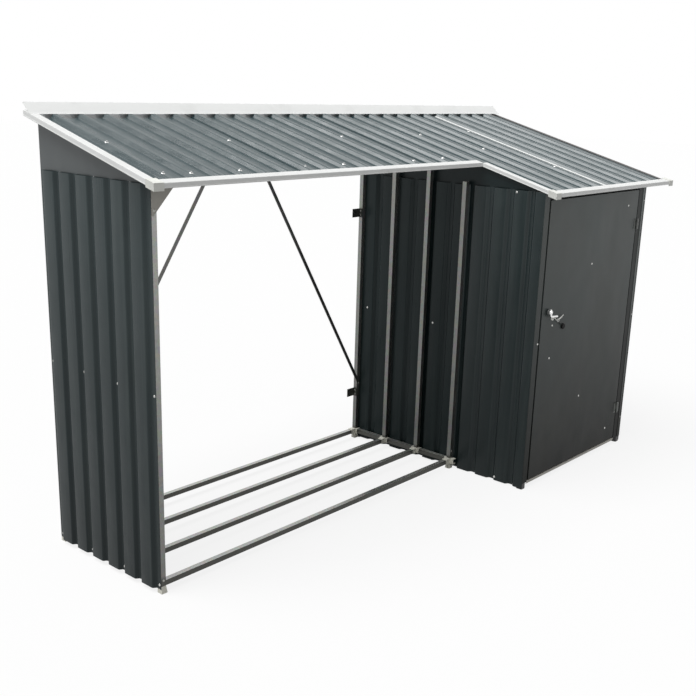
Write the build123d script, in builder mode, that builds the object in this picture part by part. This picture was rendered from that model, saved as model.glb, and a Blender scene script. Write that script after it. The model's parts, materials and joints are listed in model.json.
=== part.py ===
from build123d import *
import math
import os

os.makedirs("parts", exist_ok=True)

# Log store with a closed tool shed at its right end, in millimetres.
# X runs along the store, Y to its back, Z up. The origin is on the ground
# under the middle of the store's outline.

# Plan
bay_length = 1536.0  # outer face of the left wall to the bay side of the divider
bay_depth = 547.0
shed_width = 833.0
shed_depth = 892.0

# Roof
roof_slope = 15.0  # degrees, falling to the front
roof_front_height = 1284.0  # outer surface of the roof over the front of the bay
left_overhang = 33.0
right_overhang = 155.0
back_overhang = 26.0
bay_overhang = 58.0
shed_overhang = 44.0

# Walls
left_panel_drop = 9.0  # left panel's top below the top of the front beam
shed_panel_rise = 3.0  # shed's side panels above the top of the door frame
left_panel_gap = 16.0  # under the left panel
shed_panel_gap = 4.0
infill_tip = 2.0  # height of the gable sheets at their front ends

# Trapezoidal sheet, the same for roof and walls
sheet_thickness = 1.0
rib_height = 12.0
rib_base = 36.0
rib_crest = 18.0
roof_rib_pitch = 94.0
left_rib_pitch = 87.0
left_rib_base = 72.0  # the left wall's ribs are wide and face out
left_rib_crest = 56.0
shed_rib_pitch = 92.0
roof_first_rib = 88.0  # centre of the first rib from the roof's left edge
left_first_rib = 56.5  # centre of the first rib from the front edge
shed_first_rib = 60.0
edge_flat = 10.0  # least flat beyond the last rib of a sheet
first_sheet_rib_count = 7
second_sheet_rib_count = 7
third_sheet_rib_count = 8
sheet_lap = 8.0  # flat beyond the last rib where two roof sheets meet

# Frame of square tube
tube = 18.0
tube_wall = 1.5
post_count = 4
front_post_drop = 77.0  # top of the divider's first post below the top of the front beam
shed_rail_drop = 25.0  # shed's upper side rails below the panel's top

# Feet and connectors
foot_height = 25.0
foot_flare = 4.0
shed_foot_size = 27.0
shed_foot_round = 5.0
connector_wall = 2.0
connector_length = 40.0
connector_nose = 18.0  # reach of the first connector in front of its post
socket_length = 24.0

# Trims
trim_thickness = 1.2
trim_top_width = 28.0
trim_face_height = 15.0
trim_lip = 6.0
verge_face_height = 17.0
dark_verge_width = 12.0
dark_verge_height = 15.0
flashing_width = 38.0
flashing_upstand = 25.0
cap_wall = 2.0
cap_length = 34.0
cap_height = 21.0

# Door and its frame
door_clearance = 5.0
door_thickness = 16.0
door_bottom = 34.0
door_sheet = 1.0
door_flange = 12.0
latch_jamb_width = 33.0
latch_gap = 10.0  # between the latch jamb and the door's free edge
hinge_jamb_width = 62.0
jamb_sheet = 1.5
stop_width = 18.0
diagonal_width = 30.0
diagonal_depth = 11.0
diagonal_inset = 38.0  # ends of the diagonals from the door's edges
diagonal_spread = 76.0  # height between the diagonals at the free edge
diagonal_corner = 45.0

# Hinges
hinge_pin_radius = 2.0
hinge_pin_clearance = 0.05
knuckle_radius = 4.5
knuckle_height = 14.0
knuckle_gap = 0.4
hinge_leaf_width = 15.0
hinge_leaf_gap = 1.0  # between the knuckles and the flat of the leaf
hinge_leaf_thickness = 1.2
lower_hinge_rise = 121.0  # from the bottom of the door
upper_hinge_drop = 166.0  # from the top of the door

# Handle
handle_inset = 43.0  # spindle from the door's free edge
handle_rise = 127.0  # spindle above the middle of the door
rosette_radius = 13.0
rosette_height = 5.0
lock_radius = 11.0
spindle_radius = 5.0
spindle_clearance = 0.05
hub_radius = 9.0
hub_gap = 0.3
handle_reach = 14.0
lever_thickness = 9.0
lever_drop = 18.0
lever_length = 50.0
cam_length = 60.0
cam_width = 16.0
cam_thickness = 3.0

# Rear braces, gusset and wall brackets
brace_width = 14.0
brace_thickness = 3.0
brace_apex = 804.0  # from the left wall's outer face
brace_apex_gap = 40.0
left_brace_foot = 219.0
right_brace_foot = 260.0
gusset_length = 98.0
gusset_drop = 97.0
gusset_tip = 6.0
gusset_thickness = 1.5
bracket_reach = 43.0  # into the bay from its post
bracket_height = 36.0
bracket_thickness = 2.0
bracket_hole_radius = 3.0
bracket_hole_inset = 14.0
lower_bracket_height = 217.0
upper_bracket_drop = 394.0  # from the top of the rear beam

# Places worked out from the sizes above
overall_length = left_overhang + bay_length + shed_width + right_overhang + 2 * cap_wall
overall_depth = back_overhang + shed_depth + shed_overhang + cap_wall
x_left = -overall_length / 2 + cap_wall + left_overhang
x_divider = x_left + bay_length
x_right = x_divider + shed_width
y_back = overall_depth / 2 - back_overhang
y_bay = y_back - bay_depth
y_shed = y_back - shed_depth
roof_left = x_left - left_overhang
roof_right = x_right + right_overhang
roof_back = y_back + back_overhang
bay_eaves = y_bay - bay_overhang
shed_eaves = y_shed - shed_overhang
panel_depth = rib_height + sheet_thickness
left_frame = x_left + sheet_thickness
divider_frame = x_divider - tube
shed_left_frame = x_divider + panel_depth
shed_right_frame = x_right - panel_depth - tube
shed_post_left = x_divider + sheet_thickness
shed_post_right = x_right - sheet_thickness - tube
shed_post_front = y_shed + jamb_sheet
shed_post_back = y_back - sheet_thickness - tube
floor_top = foot_height + tube
post_foot = floor_top + connector_wall
post_places = [y_bay + i * (bay_depth - tube) / (post_count - 1) for i in range(post_count)]
slope = math.radians(roof_slope)
rise = math.tan(slope)
slope_down = (0, -math.cos(slope), -math.sin(slope))
slope_normal = (0, -math.sin(slope), math.cos(slope))
sheet_drop = (trim_thickness + panel_depth) / math.cos(slope)


def roof_surface(y):
    """Height of the roof's outer surface, on top of the trims."""
    return roof_front_height + (y - y_bay) * rise


def under_roof(y):
    """Height of the underside of the roof sheets."""
    return roof_surface(y) - sheet_drop


front_beam_top = under_roof(y_bay)
rear_beam_top = under_roof(y_back - tube)
jamb_top = under_roof(y_shed)
left_panel_top = front_beam_top - left_panel_drop
shed_panel_top = jamb_top + shed_panel_rise
jamb_right = x_right - hinge_jamb_width
door_left = x_divider + latch_jamb_width + latch_gap
door_right = jamb_right - door_clearance
door_top = roof_surface(shed_eaves) - cap_height - 2 * door_clearance
stop_front = y_shed + door_thickness + door_clearance
stop_back = stop_front + jamb_sheet
hinge_x = door_right + door_clearance / 2
hinge_y = y_shed - knuckle_radius - knuckle_gap
door_middle = (door_bottom + door_top) / 2
handle_x = door_left + handle_inset
handle_height = door_middle + handle_rise
lower_hinge_height = door_bottom + lower_hinge_rise
upper_hinge_height = door_top - upper_hinge_drop
under_roof_plane = Plane(origin=(0, y_bay, front_beam_top), x_dir=(1, 0, 0), z_dir=slope_normal)


def finish(part, name):
    """Label a finished piece and write it."""
    part.label = name
    export_step(part, f"parts/{name}.step")


def side_plane(x):
    """Sketch plane across the store: its axes are world Y and Z, its normal +X."""
    return Plane(origin=(x, 0, 0), x_dir=(0, 1, 0), z_dir=(1, 0, 0))


def front_plane(y):
    """Sketch plane along the store: its axes are world X and Z, its normal -Y."""
    return Plane(origin=(0, y, 0), x_dir=(1, 0, 0), z_dir=(0, -1, 0))


def block(low, high, mode=Mode.ADD):
    """A block between its lowest and highest corners, for the part in hand."""
    with BuildSketch(Plane.XY.offset(low[2])) as base:
        with Locations(((low[0] + high[0]) / 2, (low[1] + high[1]) / 2)):
            Rectangle(high[0] - low[0], high[1] - low[1])
    extrude(base.sketch, amount=high[2] - low[2], mode=mode)


def tube_section():
    """Square tube with its lowest corner on the sketch's origin."""
    with Locations((tube / 2, tube / 2)):
        Rectangle(tube, tube)
        Rectangle(tube - 2 * tube_wall, tube - 2 * tube_wall, mode=Mode.SUBTRACT)


def tube_along_x(x, y, z, length):
    """A tube along X from its lowest corner."""
    with BuildSketch(Plane(origin=(x, y, z), x_dir=(0, 1, 0), z_dir=(1, 0, 0))) as section:
        tube_section()
    extrude(section.sketch, amount=length)


def tube_along_y(x, y, z, length):
    """A tube along Y from its lowest corner."""
    with BuildSketch(Plane(origin=(x, y, z), x_dir=(0, 0, 1), z_dir=(0, 1, 0))) as section:
        tube_section()
    extrude(section.sketch, amount=length)


def upright_tube(x, y, z, top):
    """A standing tube between two heights."""
    with BuildSketch(Plane(origin=(x, y, z))) as section:
        tube_section()
    extrude(section.sketch, amount=top - z)


def rib_centres(length, first, pitch, base=rib_base):
    """Places of the ribs along a sheet."""
    count = int((length - first - base / 2 - edge_flat) // pitch) + 1
    return [first + pitch * i for i in range(count)]


def draw_sheet(length, centres, base=rib_base, crest=rib_crest):
    """Section of a trapezoidal sheet: flats along the first axis, ribs along the second."""
    line = [(0, 0)]
    for centre in centres:
        line.append((centre - base / 2, 0))
        line.append((centre - crest / 2, rib_height))
        line.append((centre + crest / 2, rib_height))
        line.append((centre + base / 2, 0))
    line.append((length, 0))
    other_side = [(u, w + sheet_thickness) for u, w in reversed(line)]
    with BuildLine() as outline:
        Polyline(*line, *other_side, close=True)
    make_face(outline.edges())


# Corrugated walls

def upright_panel(name, corner, along, ribs_towards, top, draw):
    """A standing sheet on a corner of its plan, with the section that draw() makes."""
    normal = Vector(along).cross(Vector(ribs_towards))
    with BuildPart() as panel:
        with BuildSketch(Plane(origin=corner, x_dir=along, z_dir=normal)):
            draw()
        extrude(amount=top - corner[2], dir=(0, 0, 1))
        split(bisect_by=under_roof_plane, keep=Keep.BOTTOM)
    finish(panel.part, name)


def draw_left_wall():
    """Wide ribs with narrow grooves between them."""
    ribs = rib_centres(bay_depth, left_first_rib, left_rib_pitch, left_rib_base)
    draw_sheet(bay_depth, ribs, left_rib_base, left_rib_crest)


def draw_shed_side():
    """Wide flats with narrow ribs, between the door frame and the back."""
    length = shed_depth - jamb_sheet
    draw_sheet(length, rib_centres(length, shed_first_rib, shed_rib_pitch, 2 * shed_first_rib))


def draw_shed_back():
    """Wide flats with narrow ribs, between the shed's side panels."""
    length = shed_width - 2 * sheet_thickness
    draw_sheet(length, rib_centres(length, shed_first_rib, shed_rib_pitch, 2 * shed_first_rib))


left_corner = (left_frame, y_bay, left_panel_gap)
upright_panel("left_wall_panel", left_corner, (0, 1, 0), (-1, 0, 0), left_panel_top, draw_left_wall)
for name, x, ribs_towards in (
    ("divider_wall_panel", x_divider, (1, 0, 0)),
    ("right_wall_panel", x_right, (-1, 0, 0)),
):
    corner = (x, y_shed + jamb_sheet, shed_panel_gap)
    upright_panel(name, corner, (0, 1, 0), ribs_towards, shed_panel_top, draw_shed_side)
back_corner = (x_divider + sheet_thickness, y_back, shed_panel_gap)
upright_panel("back_wall_panel", back_corner, (1, 0, 0), (0, -1, 0), rear_beam_top - tube, draw_shed_back)


# Flat gable sheets above the side panels

def gable_infill(x, front, back, bottom):
    """A flat sheet from the panel's top up to the underside of the roof."""
    with BuildSketch(side_plane(x)) as outline:
        with BuildLine():
            Polyline(
                (front, bottom), (back, bottom),
                (back, under_roof(back)), (front, under_roof(front)),
                close=True,
            )
        make_face()
    extrude(outline.sketch, amount=sheet_thickness)


infill_front = y_bay + (shed_panel_top + infill_tip - front_beam_top) / rise
with BuildPart() as gable_infills:
    gable_infill(left_frame - sheet_thickness, y_bay, y_back, left_panel_top)
    gable_infill(shed_left_frame - sheet_thickness, infill_front, shed_post_back, shed_panel_top)
    gable_infill(shed_right_frame + tube, infill_front, shed_post_back, shed_panel_top)
finish(gable_infills.part, "gable_infills")


# Posts of the bay

rafter_drop = tube / math.cos(slope)
rafter_underside = Plane(
    origin=(0, y_bay, front_beam_top - rafter_drop), x_dir=(1, 0, 0), z_dir=slope_normal
)
with BuildPart() as left_posts:
    for place in post_places[1:-1]:
        upright_tube(left_frame, place, post_foot, rear_beam_top)
    split(bisect_by=rafter_underside, keep=Keep.BOTTOM)
    upright_tube(left_frame, y_bay, foot_height, front_beam_top - tube)
    upright_tube(left_frame, post_places[-1], foot_height, rear_beam_top - tube)
finish(left_posts.part, "left_posts")

divider_post_tops = [front_beam_top - front_post_drop] + [rear_beam_top] * (post_count - 2) + [rear_beam_top - tube]
with BuildPart() as divider_posts:
    for place, top in zip(post_places, divider_post_tops):
        upright_tube(divider_frame, place, post_foot, top)
    split(bisect_by=under_roof_plane, keep=Keep.BOTTOM)
finish(divider_posts.part, "divider_posts")


# Floor frame of the bay

with BuildPart() as bay_side_rails:
    tube_along_y(left_frame, y_bay + tube, foot_height, bay_depth - 2 * tube)
    tube_along_y(divider_frame, y_bay, foot_height, bay_depth)
finish(bay_side_rails.part, "bay_side_rails")

floor_start = left_frame + tube
with BuildPart() as floor_tubes:
    for place in post_places:
        tube_along_x(floor_start, place, foot_height, divider_frame - floor_start)
finish(floor_tubes.part, "floor_tubes")


# Plastic connectors where the floor tubes meet the rails

def connector(rail_x, direction, place, front, back):
    """A sleeve on the rail, open to the wall, with a socket for the floor tube."""
    outer = tube + 2 * connector_wall
    bay_side = rail_x + tube if direction > 0 else rail_x
    reach = bay_side + direction * connector_wall
    sleeve_low = min(reach, rail_x)
    sleeve_high = max(reach, rail_x + tube)
    block((sleeve_low, front, foot_height - connector_wall), (sleeve_high, back, post_foot))
    socket_end = reach + direction * socket_length
    socket_low = (min(reach, socket_end), place - connector_wall, foot_height - connector_wall)
    socket_high = (max(reach, socket_end), place - connector_wall + outer, post_foot)
    block(socket_low, socket_high)
    block((rail_x, front, foot_height), (rail_x + tube, back, floor_top), Mode.SUBTRACT)
    tunnel_low = (min(bay_side, socket_end), place, foot_height)
    tunnel_high = (max(bay_side, socket_end), place + tube, floor_top)
    block(tunnel_low, tunnel_high, Mode.SUBTRACT)


sleeve_margin = (connector_length - tube) / 2
with BuildPart() as connectors:
    for place in post_places[1:-1]:
        connector(left_frame, 1, place, place - sleeve_margin, place + tube + sleeve_margin)
    for place in post_places:
        front_reach = connector_nose if place == post_places[0] else sleeve_margin
        back_reach = 0 if place == post_places[-1] else sleeve_margin
        connector(divider_frame, -1, place, place - front_reach, place + tube + back_reach)
finish(connectors.part, "connectors")


# Feet

def flared_foot(x, y, height, direction):
    """A plastic foot under a post, wider at the ground on its bay side."""
    middle = x + (tube + direction * foot_flare) / 2
    with BuildSketch(Plane(origin=(middle, y + tube / 2, 0))) as ground:
        Rectangle(tube + foot_flare, tube + foot_flare)
    with BuildSketch(Plane(origin=(x + tube / 2, y + tube / 2, height))) as seat:
        Rectangle(tube, tube)
    loft([ground.sketch, seat.sketch])


with BuildPart() as bay_feet:
    flared_foot(left_frame, y_bay, foot_height, 1)
    flared_foot(left_frame, post_places[-1], foot_height, 1)
    flared_foot(divider_frame, y_bay, foot_height - connector_wall, -1)
    flared_foot(divider_frame, post_places[-1], foot_height - connector_wall, -1)
finish(bay_feet.part, "bay_feet")

with BuildPart() as shed_feet:
    for x, x_edge in ((shed_post_left, 0), (shed_post_right, tube - shed_foot_size)):
        for y, y_edge in ((shed_post_front, 0), (shed_post_back, tube - shed_foot_size)):
            low = (x + x_edge, y + y_edge, 0)
            block(low, (low[0] + shed_foot_size, low[1] + shed_foot_size, foot_height))
    upright_edges = shed_feet.edges().filter_by(Axis.Z)
    fillet(upright_edges, radius=shed_foot_round)
finish(shed_feet.part, "shed_feet")


# Frame of the shed

with BuildPart() as shed_rear_posts:
    for x in (shed_post_left, shed_post_right):
        upright_tube(x, shed_post_back, foot_height, rear_beam_top - tube)
finish(shed_rear_posts.part, "shed_rear_posts")

with BuildPart() as shed_front_posts:
    for x in (shed_post_left, shed_post_right):
        upright_tube(x, shed_post_front, foot_height, jamb_top)
finish(shed_front_posts.part, "shed_front_posts")

rear_rail_y = y_back - panel_depth - tube
side_rail_length = rear_rail_y - stop_back
upper_rail_z = shed_panel_top - shed_rail_drop - tube
with BuildPart() as shed_side_rails:
    for z in (foot_height, upper_rail_z):
        for x in (shed_left_frame, shed_right_frame):
            tube_along_y(x, stop_back, z, side_rail_length)
finish(shed_side_rails.part, "shed_side_rails")

rear_rail_length = shed_post_right - shed_post_left - tube
with BuildPart() as shed_rear_rails:
    for z in (foot_height, upper_rail_z):
        tube_along_x(shed_post_left + tube, rear_rail_y, z, rear_rail_length)
finish(shed_rear_rails.part, "shed_rear_rails")

with BuildPart() as door_sill:
    tube_along_x(shed_left_frame + tube, stop_back, foot_height, shed_right_frame - shed_left_frame - tube)
finish(door_sill.part, "door_sill")


# Roof frame

def rafter(x, front, back):
    """A sloping tube under the roof sheets, with upright ends."""
    for inset, mode in ((0, Mode.ADD), (tube_wall, Mode.SUBTRACT)):
        with BuildSketch(side_plane(x + inset)) as outline:
            with BuildLine():
                Polyline(
                    (front, under_roof(front) - inset), (back, under_roof(back) - inset),
                    (back, under_roof(back) - rafter_drop + inset),
                    (front, under_roof(front) - rafter_drop + inset),
                    close=True,
                )
            make_face()
        extrude(outline.sketch, amount=tube - 2 * inset, mode=mode)


with BuildPart() as rafters:
    rafter(left_frame, y_bay + tube, y_back - tube)
    rafter(shed_left_frame, stop_back, shed_post_back)
    rafter(shed_right_frame, stop_back, shed_post_back)
finish(rafters.part, "rafters")

with BuildPart() as front_eaves_beam:
    beam_end = shed_left_frame - sheet_thickness
    tube_along_x(left_frame, y_bay, front_beam_top - tube, beam_end - left_frame)
finish(front_eaves_beam.part, "front_eaves_beam")

with BuildPart() as rear_top_beam:
    beam_end = shed_post_right + tube
    tube_along_x(left_frame, y_back - tube, rear_beam_top - tube, beam_end - left_frame)
finish(rear_top_beam.part, "rear_top_beam")


# Rear braces, gusset and wall brackets

def brace(foot_x, foot_z, top_x, top_z):
    """A flat bar with round ends, across the front of the rear posts."""
    length = math.hypot(top_x - foot_x, top_z - foot_z)
    lean = math.degrees(math.atan2(top_z - foot_z, top_x - foot_x))
    with BuildSketch(front_plane(y_back - tube)) as bar:
        with Locations(((foot_x + top_x) / 2, (foot_z + top_z) / 2)):
            SlotOverall(length + brace_width, brace_width, rotation=lean)
    extrude(bar.sketch, amount=brace_thickness)


brace_top = rear_beam_top - tube / 2
apex_x = x_left + brace_apex
with BuildPart() as rear_braces:
    brace(left_frame + tube / 2, left_brace_foot, apex_x - brace_apex_gap / 2, brace_top)
    brace(divider_frame + tube / 2, right_brace_foot, apex_x + brace_apex_gap / 2, brace_top)
finish(rear_braces.part, "rear_braces")

gusset_top = under_roof(y_bay - gusset_thickness)
with BuildPart() as corner_gusset:
    with BuildSketch(front_plane(y_bay)):
        with BuildLine():
            Polyline(
                (left_frame, gusset_top), (left_frame, gusset_top - gusset_drop),
                (left_frame + gusset_tip, gusset_top - gusset_drop),
                (left_frame + gusset_length, gusset_top),
                close=True,
            )
        make_face()
    extrude(amount=gusset_thickness)
finish(corner_gusset.part, "corner_gusset")

with BuildPart() as wall_brackets:
    for post_face, direction in ((left_frame + tube, 1), (divider_frame, -1)):
        leg = post_face + direction * bracket_thickness
        tip = post_face + direction * bracket_reach
        for height in (lower_bracket_height, rear_beam_top - upper_bracket_drop):
            with BuildSketch(Plane.XY.offset(height - bracket_height / 2)) as section:
                with BuildLine():
                    Polyline(
                        (post_face, y_back), (post_face, y_back - tube), (leg, y_back - tube),
                        (leg, y_back - bracket_thickness), (tip, y_back - bracket_thickness), (tip, y_back),
                        close=True,
                    )
                make_face()
            extrude(section.sketch, amount=bracket_height)
            with BuildSketch(front_plane(y_back)) as hole:
                with Locations((tip - direction * bracket_hole_inset, height)):
                    Circle(bracket_hole_radius)
            extrude(hole.sketch, amount=bracket_thickness, mode=Mode.SUBTRACT)
finish(wall_brackets.part, "wall_brackets")


# Roof sheets, cut back over the bay

roof_ribs = rib_centres(roof_right - roof_left, roof_first_rib, roof_rib_pitch)
ribs_so_far = [first_sheet_rib_count]
ribs_so_far.append(ribs_so_far[-1] + second_sheet_rib_count)
ribs_so_far.append(ribs_so_far[-1] + third_sheet_rib_count)
lap_edges = [roof_ribs[count - 1] + rib_base / 2 + sheet_lap for count in ribs_so_far]
sheet_edges = [trim_thickness] + lap_edges + [roof_right - roof_left - trim_thickness]
sheet_back = roof_back - trim_thickness
eaves_inset = trim_thickness + panel_depth * math.sin(slope)
for number, (left, right) in enumerate(zip(sheet_edges, sheet_edges[1:]), start=1):
    over_shed = roof_left + right > x_divider
    sheet_front = (shed_eaves if over_shed else bay_eaves) + eaves_inset
    corner = (roof_left + left, sheet_back, under_roof(sheet_back))
    with BuildPart() as roof_sheet:
        with BuildSketch(Plane(origin=corner, x_dir=(1, 0, 0), z_dir=slope_down)):
            draw_sheet(right - left, [rib - left for rib in roof_ribs if left < rib < right])
        extrude(amount=(sheet_back - sheet_front) / math.cos(slope))
        if over_shed and roof_left + left < x_divider:
            low = (roof_left + left - sheet_lap, shed_eaves - cap_length, 0)
            high = (x_divider, bay_eaves + eaves_inset, 2 * roof_front_height)
            block(low, high, Mode.SUBTRACT)
    finish(roof_sheet.part, f"roof_sheet_{number}")


# Trims around the roof

def eaves_trim(name, left, right, front):
    """Angle along a front edge: a leg on the ribs, an upright face and a lip."""
    top = roof_surface(front)
    inner = front + trim_thickness
    back = front + trim_top_width
    low = top - trim_face_height
    skin = trim_thickness / math.cos(slope)
    with BuildPart() as trim:
        with BuildSketch(side_plane(left)):
            with BuildLine():
                Polyline(
                    (front, top), (back, roof_surface(back)), (back, roof_surface(back) - skin),
                    (inner, roof_surface(inner) - skin), (inner, low + trim_thickness),
                    (front + trim_lip, low + trim_thickness), (front + trim_lip, low), (front, low),
                    close=True,
                )
            make_face()
        extrude(amount=right - left)
    finish(trim.part, name)


def verge_trim(name, edge, direction, width, face, front, back):
    """Angle along a sloping edge: a leg on the ribs and a face that hangs down."""
    skin = trim_thickness / math.cos(slope)
    leg_back = min(back, roof_back - flashing_width)
    with BuildPart() as trim:
        for reach, top, depth, end in ((trim_thickness, skin, face, back), (width, 0, skin, leg_back)):
            with BuildSketch(side_plane(edge if direction > 0 else edge - reach)):
                with BuildLine():
                    Polyline(
                        (front, roof_surface(front) - top), (end, roof_surface(end) - top),
                        (end, roof_surface(end) - depth), (front, roof_surface(front) - depth),
                        close=True,
                    )
                make_face()
            extrude(amount=reach)
    finish(trim.part, name)


verge_front = bay_eaves + trim_top_width
eaves_trim("bay_eaves_trim", roof_left, x_divider - trim_thickness, bay_eaves)
eaves_trim("shed_eaves_trim", x_divider - trim_thickness, roof_right, shed_eaves)
verge_trim("left_verge_trim", roof_left, 1, trim_top_width, verge_face_height, verge_front, roof_back)
verge_front = shed_eaves + trim_top_width
verge_trim("step_trim", x_divider - trim_thickness, 1, trim_top_width, trim_face_height, verge_front, bay_eaves)
verge_trim("right_verge_trim", roof_right, -1, dark_verge_width, dark_verge_height, verge_front, roof_back)

with BuildPart() as back_flashing:
    skin = trim_thickness / math.cos(slope)
    leg_front = roof_back - flashing_width
    back_inner = roof_back - trim_thickness
    with BuildSketch(side_plane(roof_left)):
        with BuildLine():
            Polyline(
                (leg_front, roof_surface(leg_front)), (back_inner, roof_surface(back_inner)),
                (back_inner, roof_surface(roof_back) + flashing_upstand),
                (roof_back, roof_surface(roof_back) + flashing_upstand),
                (roof_back, roof_surface(roof_back) - skin), (leg_front, roof_surface(leg_front) - skin),
                close=True,
            )
        make_face()
    extrude(amount=roof_right - roof_left)
finish(back_flashing.part, "back_flashing")


def corner_cap(edge, direction, front):
    """A cap over a front corner of the trims: a top, a front and a side."""
    outer_edge = edge - direction * cap_wall
    span = cap_length + cap_wall
    back = front + cap_length
    for inset, start, mode in ((0, outer_edge, Mode.ADD), (cap_wall, edge, Mode.SUBTRACT)):
        face = front - cap_wall + inset
        lift = cap_wall - inset
        reach = span - inset
        with BuildSketch(side_plane(start if direction > 0 else start - reach)) as outline:
            with BuildLine():
                Polyline(
                    (face, roof_surface(face) + lift), (back, roof_surface(back) + lift),
                    (back, roof_surface(back) - cap_height), (face, roof_surface(face) - cap_height),
                    close=True,
                )
            make_face()
        extrude(outline.sketch, amount=reach, mode=mode)


with BuildPart() as corner_caps:
    corner_cap(roof_left, 1, bay_eaves)
    corner_cap(x_divider - trim_thickness, 1, shed_eaves)
    corner_cap(roof_right, -1, shed_eaves)
finish(corner_caps.part, "corner_caps")


# Door frame of folded sheet

def jamb(name, edge, direction, width):
    """Front leg at the corner, a return along the door and a stop behind it."""
    opening = edge + direction * width
    inner = opening - direction * jamb_sheet
    stop_end = opening + direction * stop_width
    with BuildPart() as profile:
        with BuildSketch(Plane.XY.offset(foot_height)):
            with BuildLine():
                Polyline(
                    (edge, y_shed), (opening, y_shed), (opening, stop_front), (stop_end, stop_front),
                    (stop_end, stop_back), (inner, stop_back), (inner, y_shed + jamb_sheet),
                    (edge, y_shed + jamb_sheet),
                    close=True,
                )
            make_face()
        extrude(amount=jamb_top - foot_height, dir=(0, 0, 1))
    finish(profile.part, name)


jamb("left_door_jamb", x_divider, 1, latch_jamb_width)
jamb("right_door_jamb", x_right, -1, hinge_jamb_width)

header_bottom = door_top + door_clearance
with BuildPart() as door_header:
    with BuildSketch(side_plane(x_divider + latch_jamb_width)):
        with BuildLine():
            Polyline(
                (y_shed, jamb_top), (y_shed, header_bottom), (stop_front, header_bottom),
                (stop_front, header_bottom - stop_width), (stop_back, header_bottom - stop_width),
                (stop_back, header_bottom + jamb_sheet), (y_shed + jamb_sheet, header_bottom + jamb_sheet),
                (y_shed + jamb_sheet, jamb_top),
                close=True,
            )
        make_face()
    extrude(amount=jamb_right - x_divider - latch_jamb_width)
    for left in (x_divider + latch_jamb_width, jamb_right - stop_width):
        low = (left, stop_front, header_bottom - stop_width)
        block(low, (left + stop_width, stop_back, jamb_top), Mode.SUBTRACT)
finish(door_header.part, "door_header")


# Door leaf

with BuildPart() as door_skin:
    block((door_left, y_shed, door_bottom), (door_right, y_shed + door_thickness, door_top))
    block(
        (door_left + door_sheet, y_shed + door_sheet, door_bottom + door_sheet),
        (door_right - door_sheet, y_shed + door_thickness - door_sheet, door_top - door_sheet),
        Mode.SUBTRACT,
    )
    block(
        (door_left + door_flange, y_shed + door_sheet, door_bottom + door_flange),
        (door_right - door_flange, y_shed + door_thickness, door_top - door_flange),
        Mode.SUBTRACT,
    )
    with BuildSketch(front_plane(y_shed + door_sheet)):
        with Locations((handle_x, handle_height)):
            Circle(spindle_radius + spindle_clearance)
    extrude(amount=door_sheet, mode=Mode.SUBTRACT)
finish(door_skin.part, "door_skin")

free_end = door_left + diagonal_inset
hinge_end = door_right - diagonal_inset
with BuildPart() as door_diagonals:
    for side, door_edge in ((1, door_top), (-1, door_bottom)):
        start = (free_end, door_middle + side * diagonal_spread / 2)
        end = (hinge_end, door_edge - side * diagonal_corner)
        length = math.hypot(end[0] - start[0], end[1] - start[1])
        lean = math.degrees(math.atan2(end[1] - start[1], end[0] - start[0]))
        middle = ((start[0] + end[0]) / 2, (start[1] + end[1]) / 2)
        for wall, mode in ((0, Mode.ADD), (door_sheet, Mode.SUBTRACT)):
            with BuildSketch(front_plane(y_shed + door_sheet + diagonal_depth - wall)):
                with Locations(middle):
                    Rectangle(length - 2 * wall, diagonal_width - 2 * wall, rotation=lean)
            extrude(amount=diagonal_depth - wall, mode=mode)
finish(door_diagonals.part, "door_diagonals")

with BuildPart() as lock_body:
    with BuildSketch(front_plane(y_shed + door_thickness)):
        with Locations((handle_x, handle_height)):
            Circle(lock_radius)
            Circle(spindle_radius + spindle_clearance, mode=Mode.SUBTRACT)
    extrude(amount=door_thickness - door_sheet)
    with BuildSketch(front_plane(y_shed)):
        with Locations((handle_x, handle_height)):
            Circle(rosette_radius)
            Circle(spindle_radius + spindle_clearance, mode=Mode.SUBTRACT)
    extrude(amount=rosette_height)
finish(lock_body.part, "lock_body")


# Handle with its spindle and latch cam

with BuildPart() as door_handle:
    hub_back = y_shed - rosette_height - hub_gap
    hub_front = y_shed - rosette_height - handle_reach
    cam_front = stop_back + door_clearance
    with BuildSketch(front_plane(cam_front)):
        with Locations((handle_x, handle_height)):
            Circle(spindle_radius)
    extrude(amount=cam_front - hub_back)
    with BuildSketch(front_plane(hub_back)):
        with Locations((handle_x, handle_height)):
            Circle(hub_radius)
    extrude(amount=hub_back - hub_front)
    with BuildSketch(front_plane(hub_front + lever_thickness)):
        with Locations((handle_x, handle_height - lever_drop / 2)):
            SlotOverall(lever_drop + lever_thickness, lever_thickness, rotation=90)
        with Locations((handle_x + lever_length / 2, handle_height - lever_drop)):
            SlotOverall(lever_length + lever_thickness, lever_thickness)
    extrude(amount=lever_thickness)
finish(door_handle.part, "door_handle")

with BuildPart() as latch_cam:
    with BuildSketch(front_plane(cam_front + cam_thickness)):
        with Locations((handle_x, handle_height - cam_length / 2 + cam_width / 4)):
            SlotOverall(cam_length + cam_width / 2, cam_width, rotation=90)
    extrude(amount=cam_thickness)
finish(latch_cam.part, "latch_cam")


# Hinges: the outer knuckles and the pin on the frame, the middle knuckle on the door

knuckle_step = knuckle_height + knuckle_gap


def hinge_plate(base, direction):
    """The flat leaf of a hinge, beside its knuckles."""
    near = hinge_x + direction * (knuckle_radius + hinge_leaf_gap)
    far = near + direction * hinge_leaf_width
    low = (min(near, far), y_shed - hinge_leaf_thickness, base)
    block(low, (max(near, far), y_shed, base + 2 * knuckle_step + knuckle_height))


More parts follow.
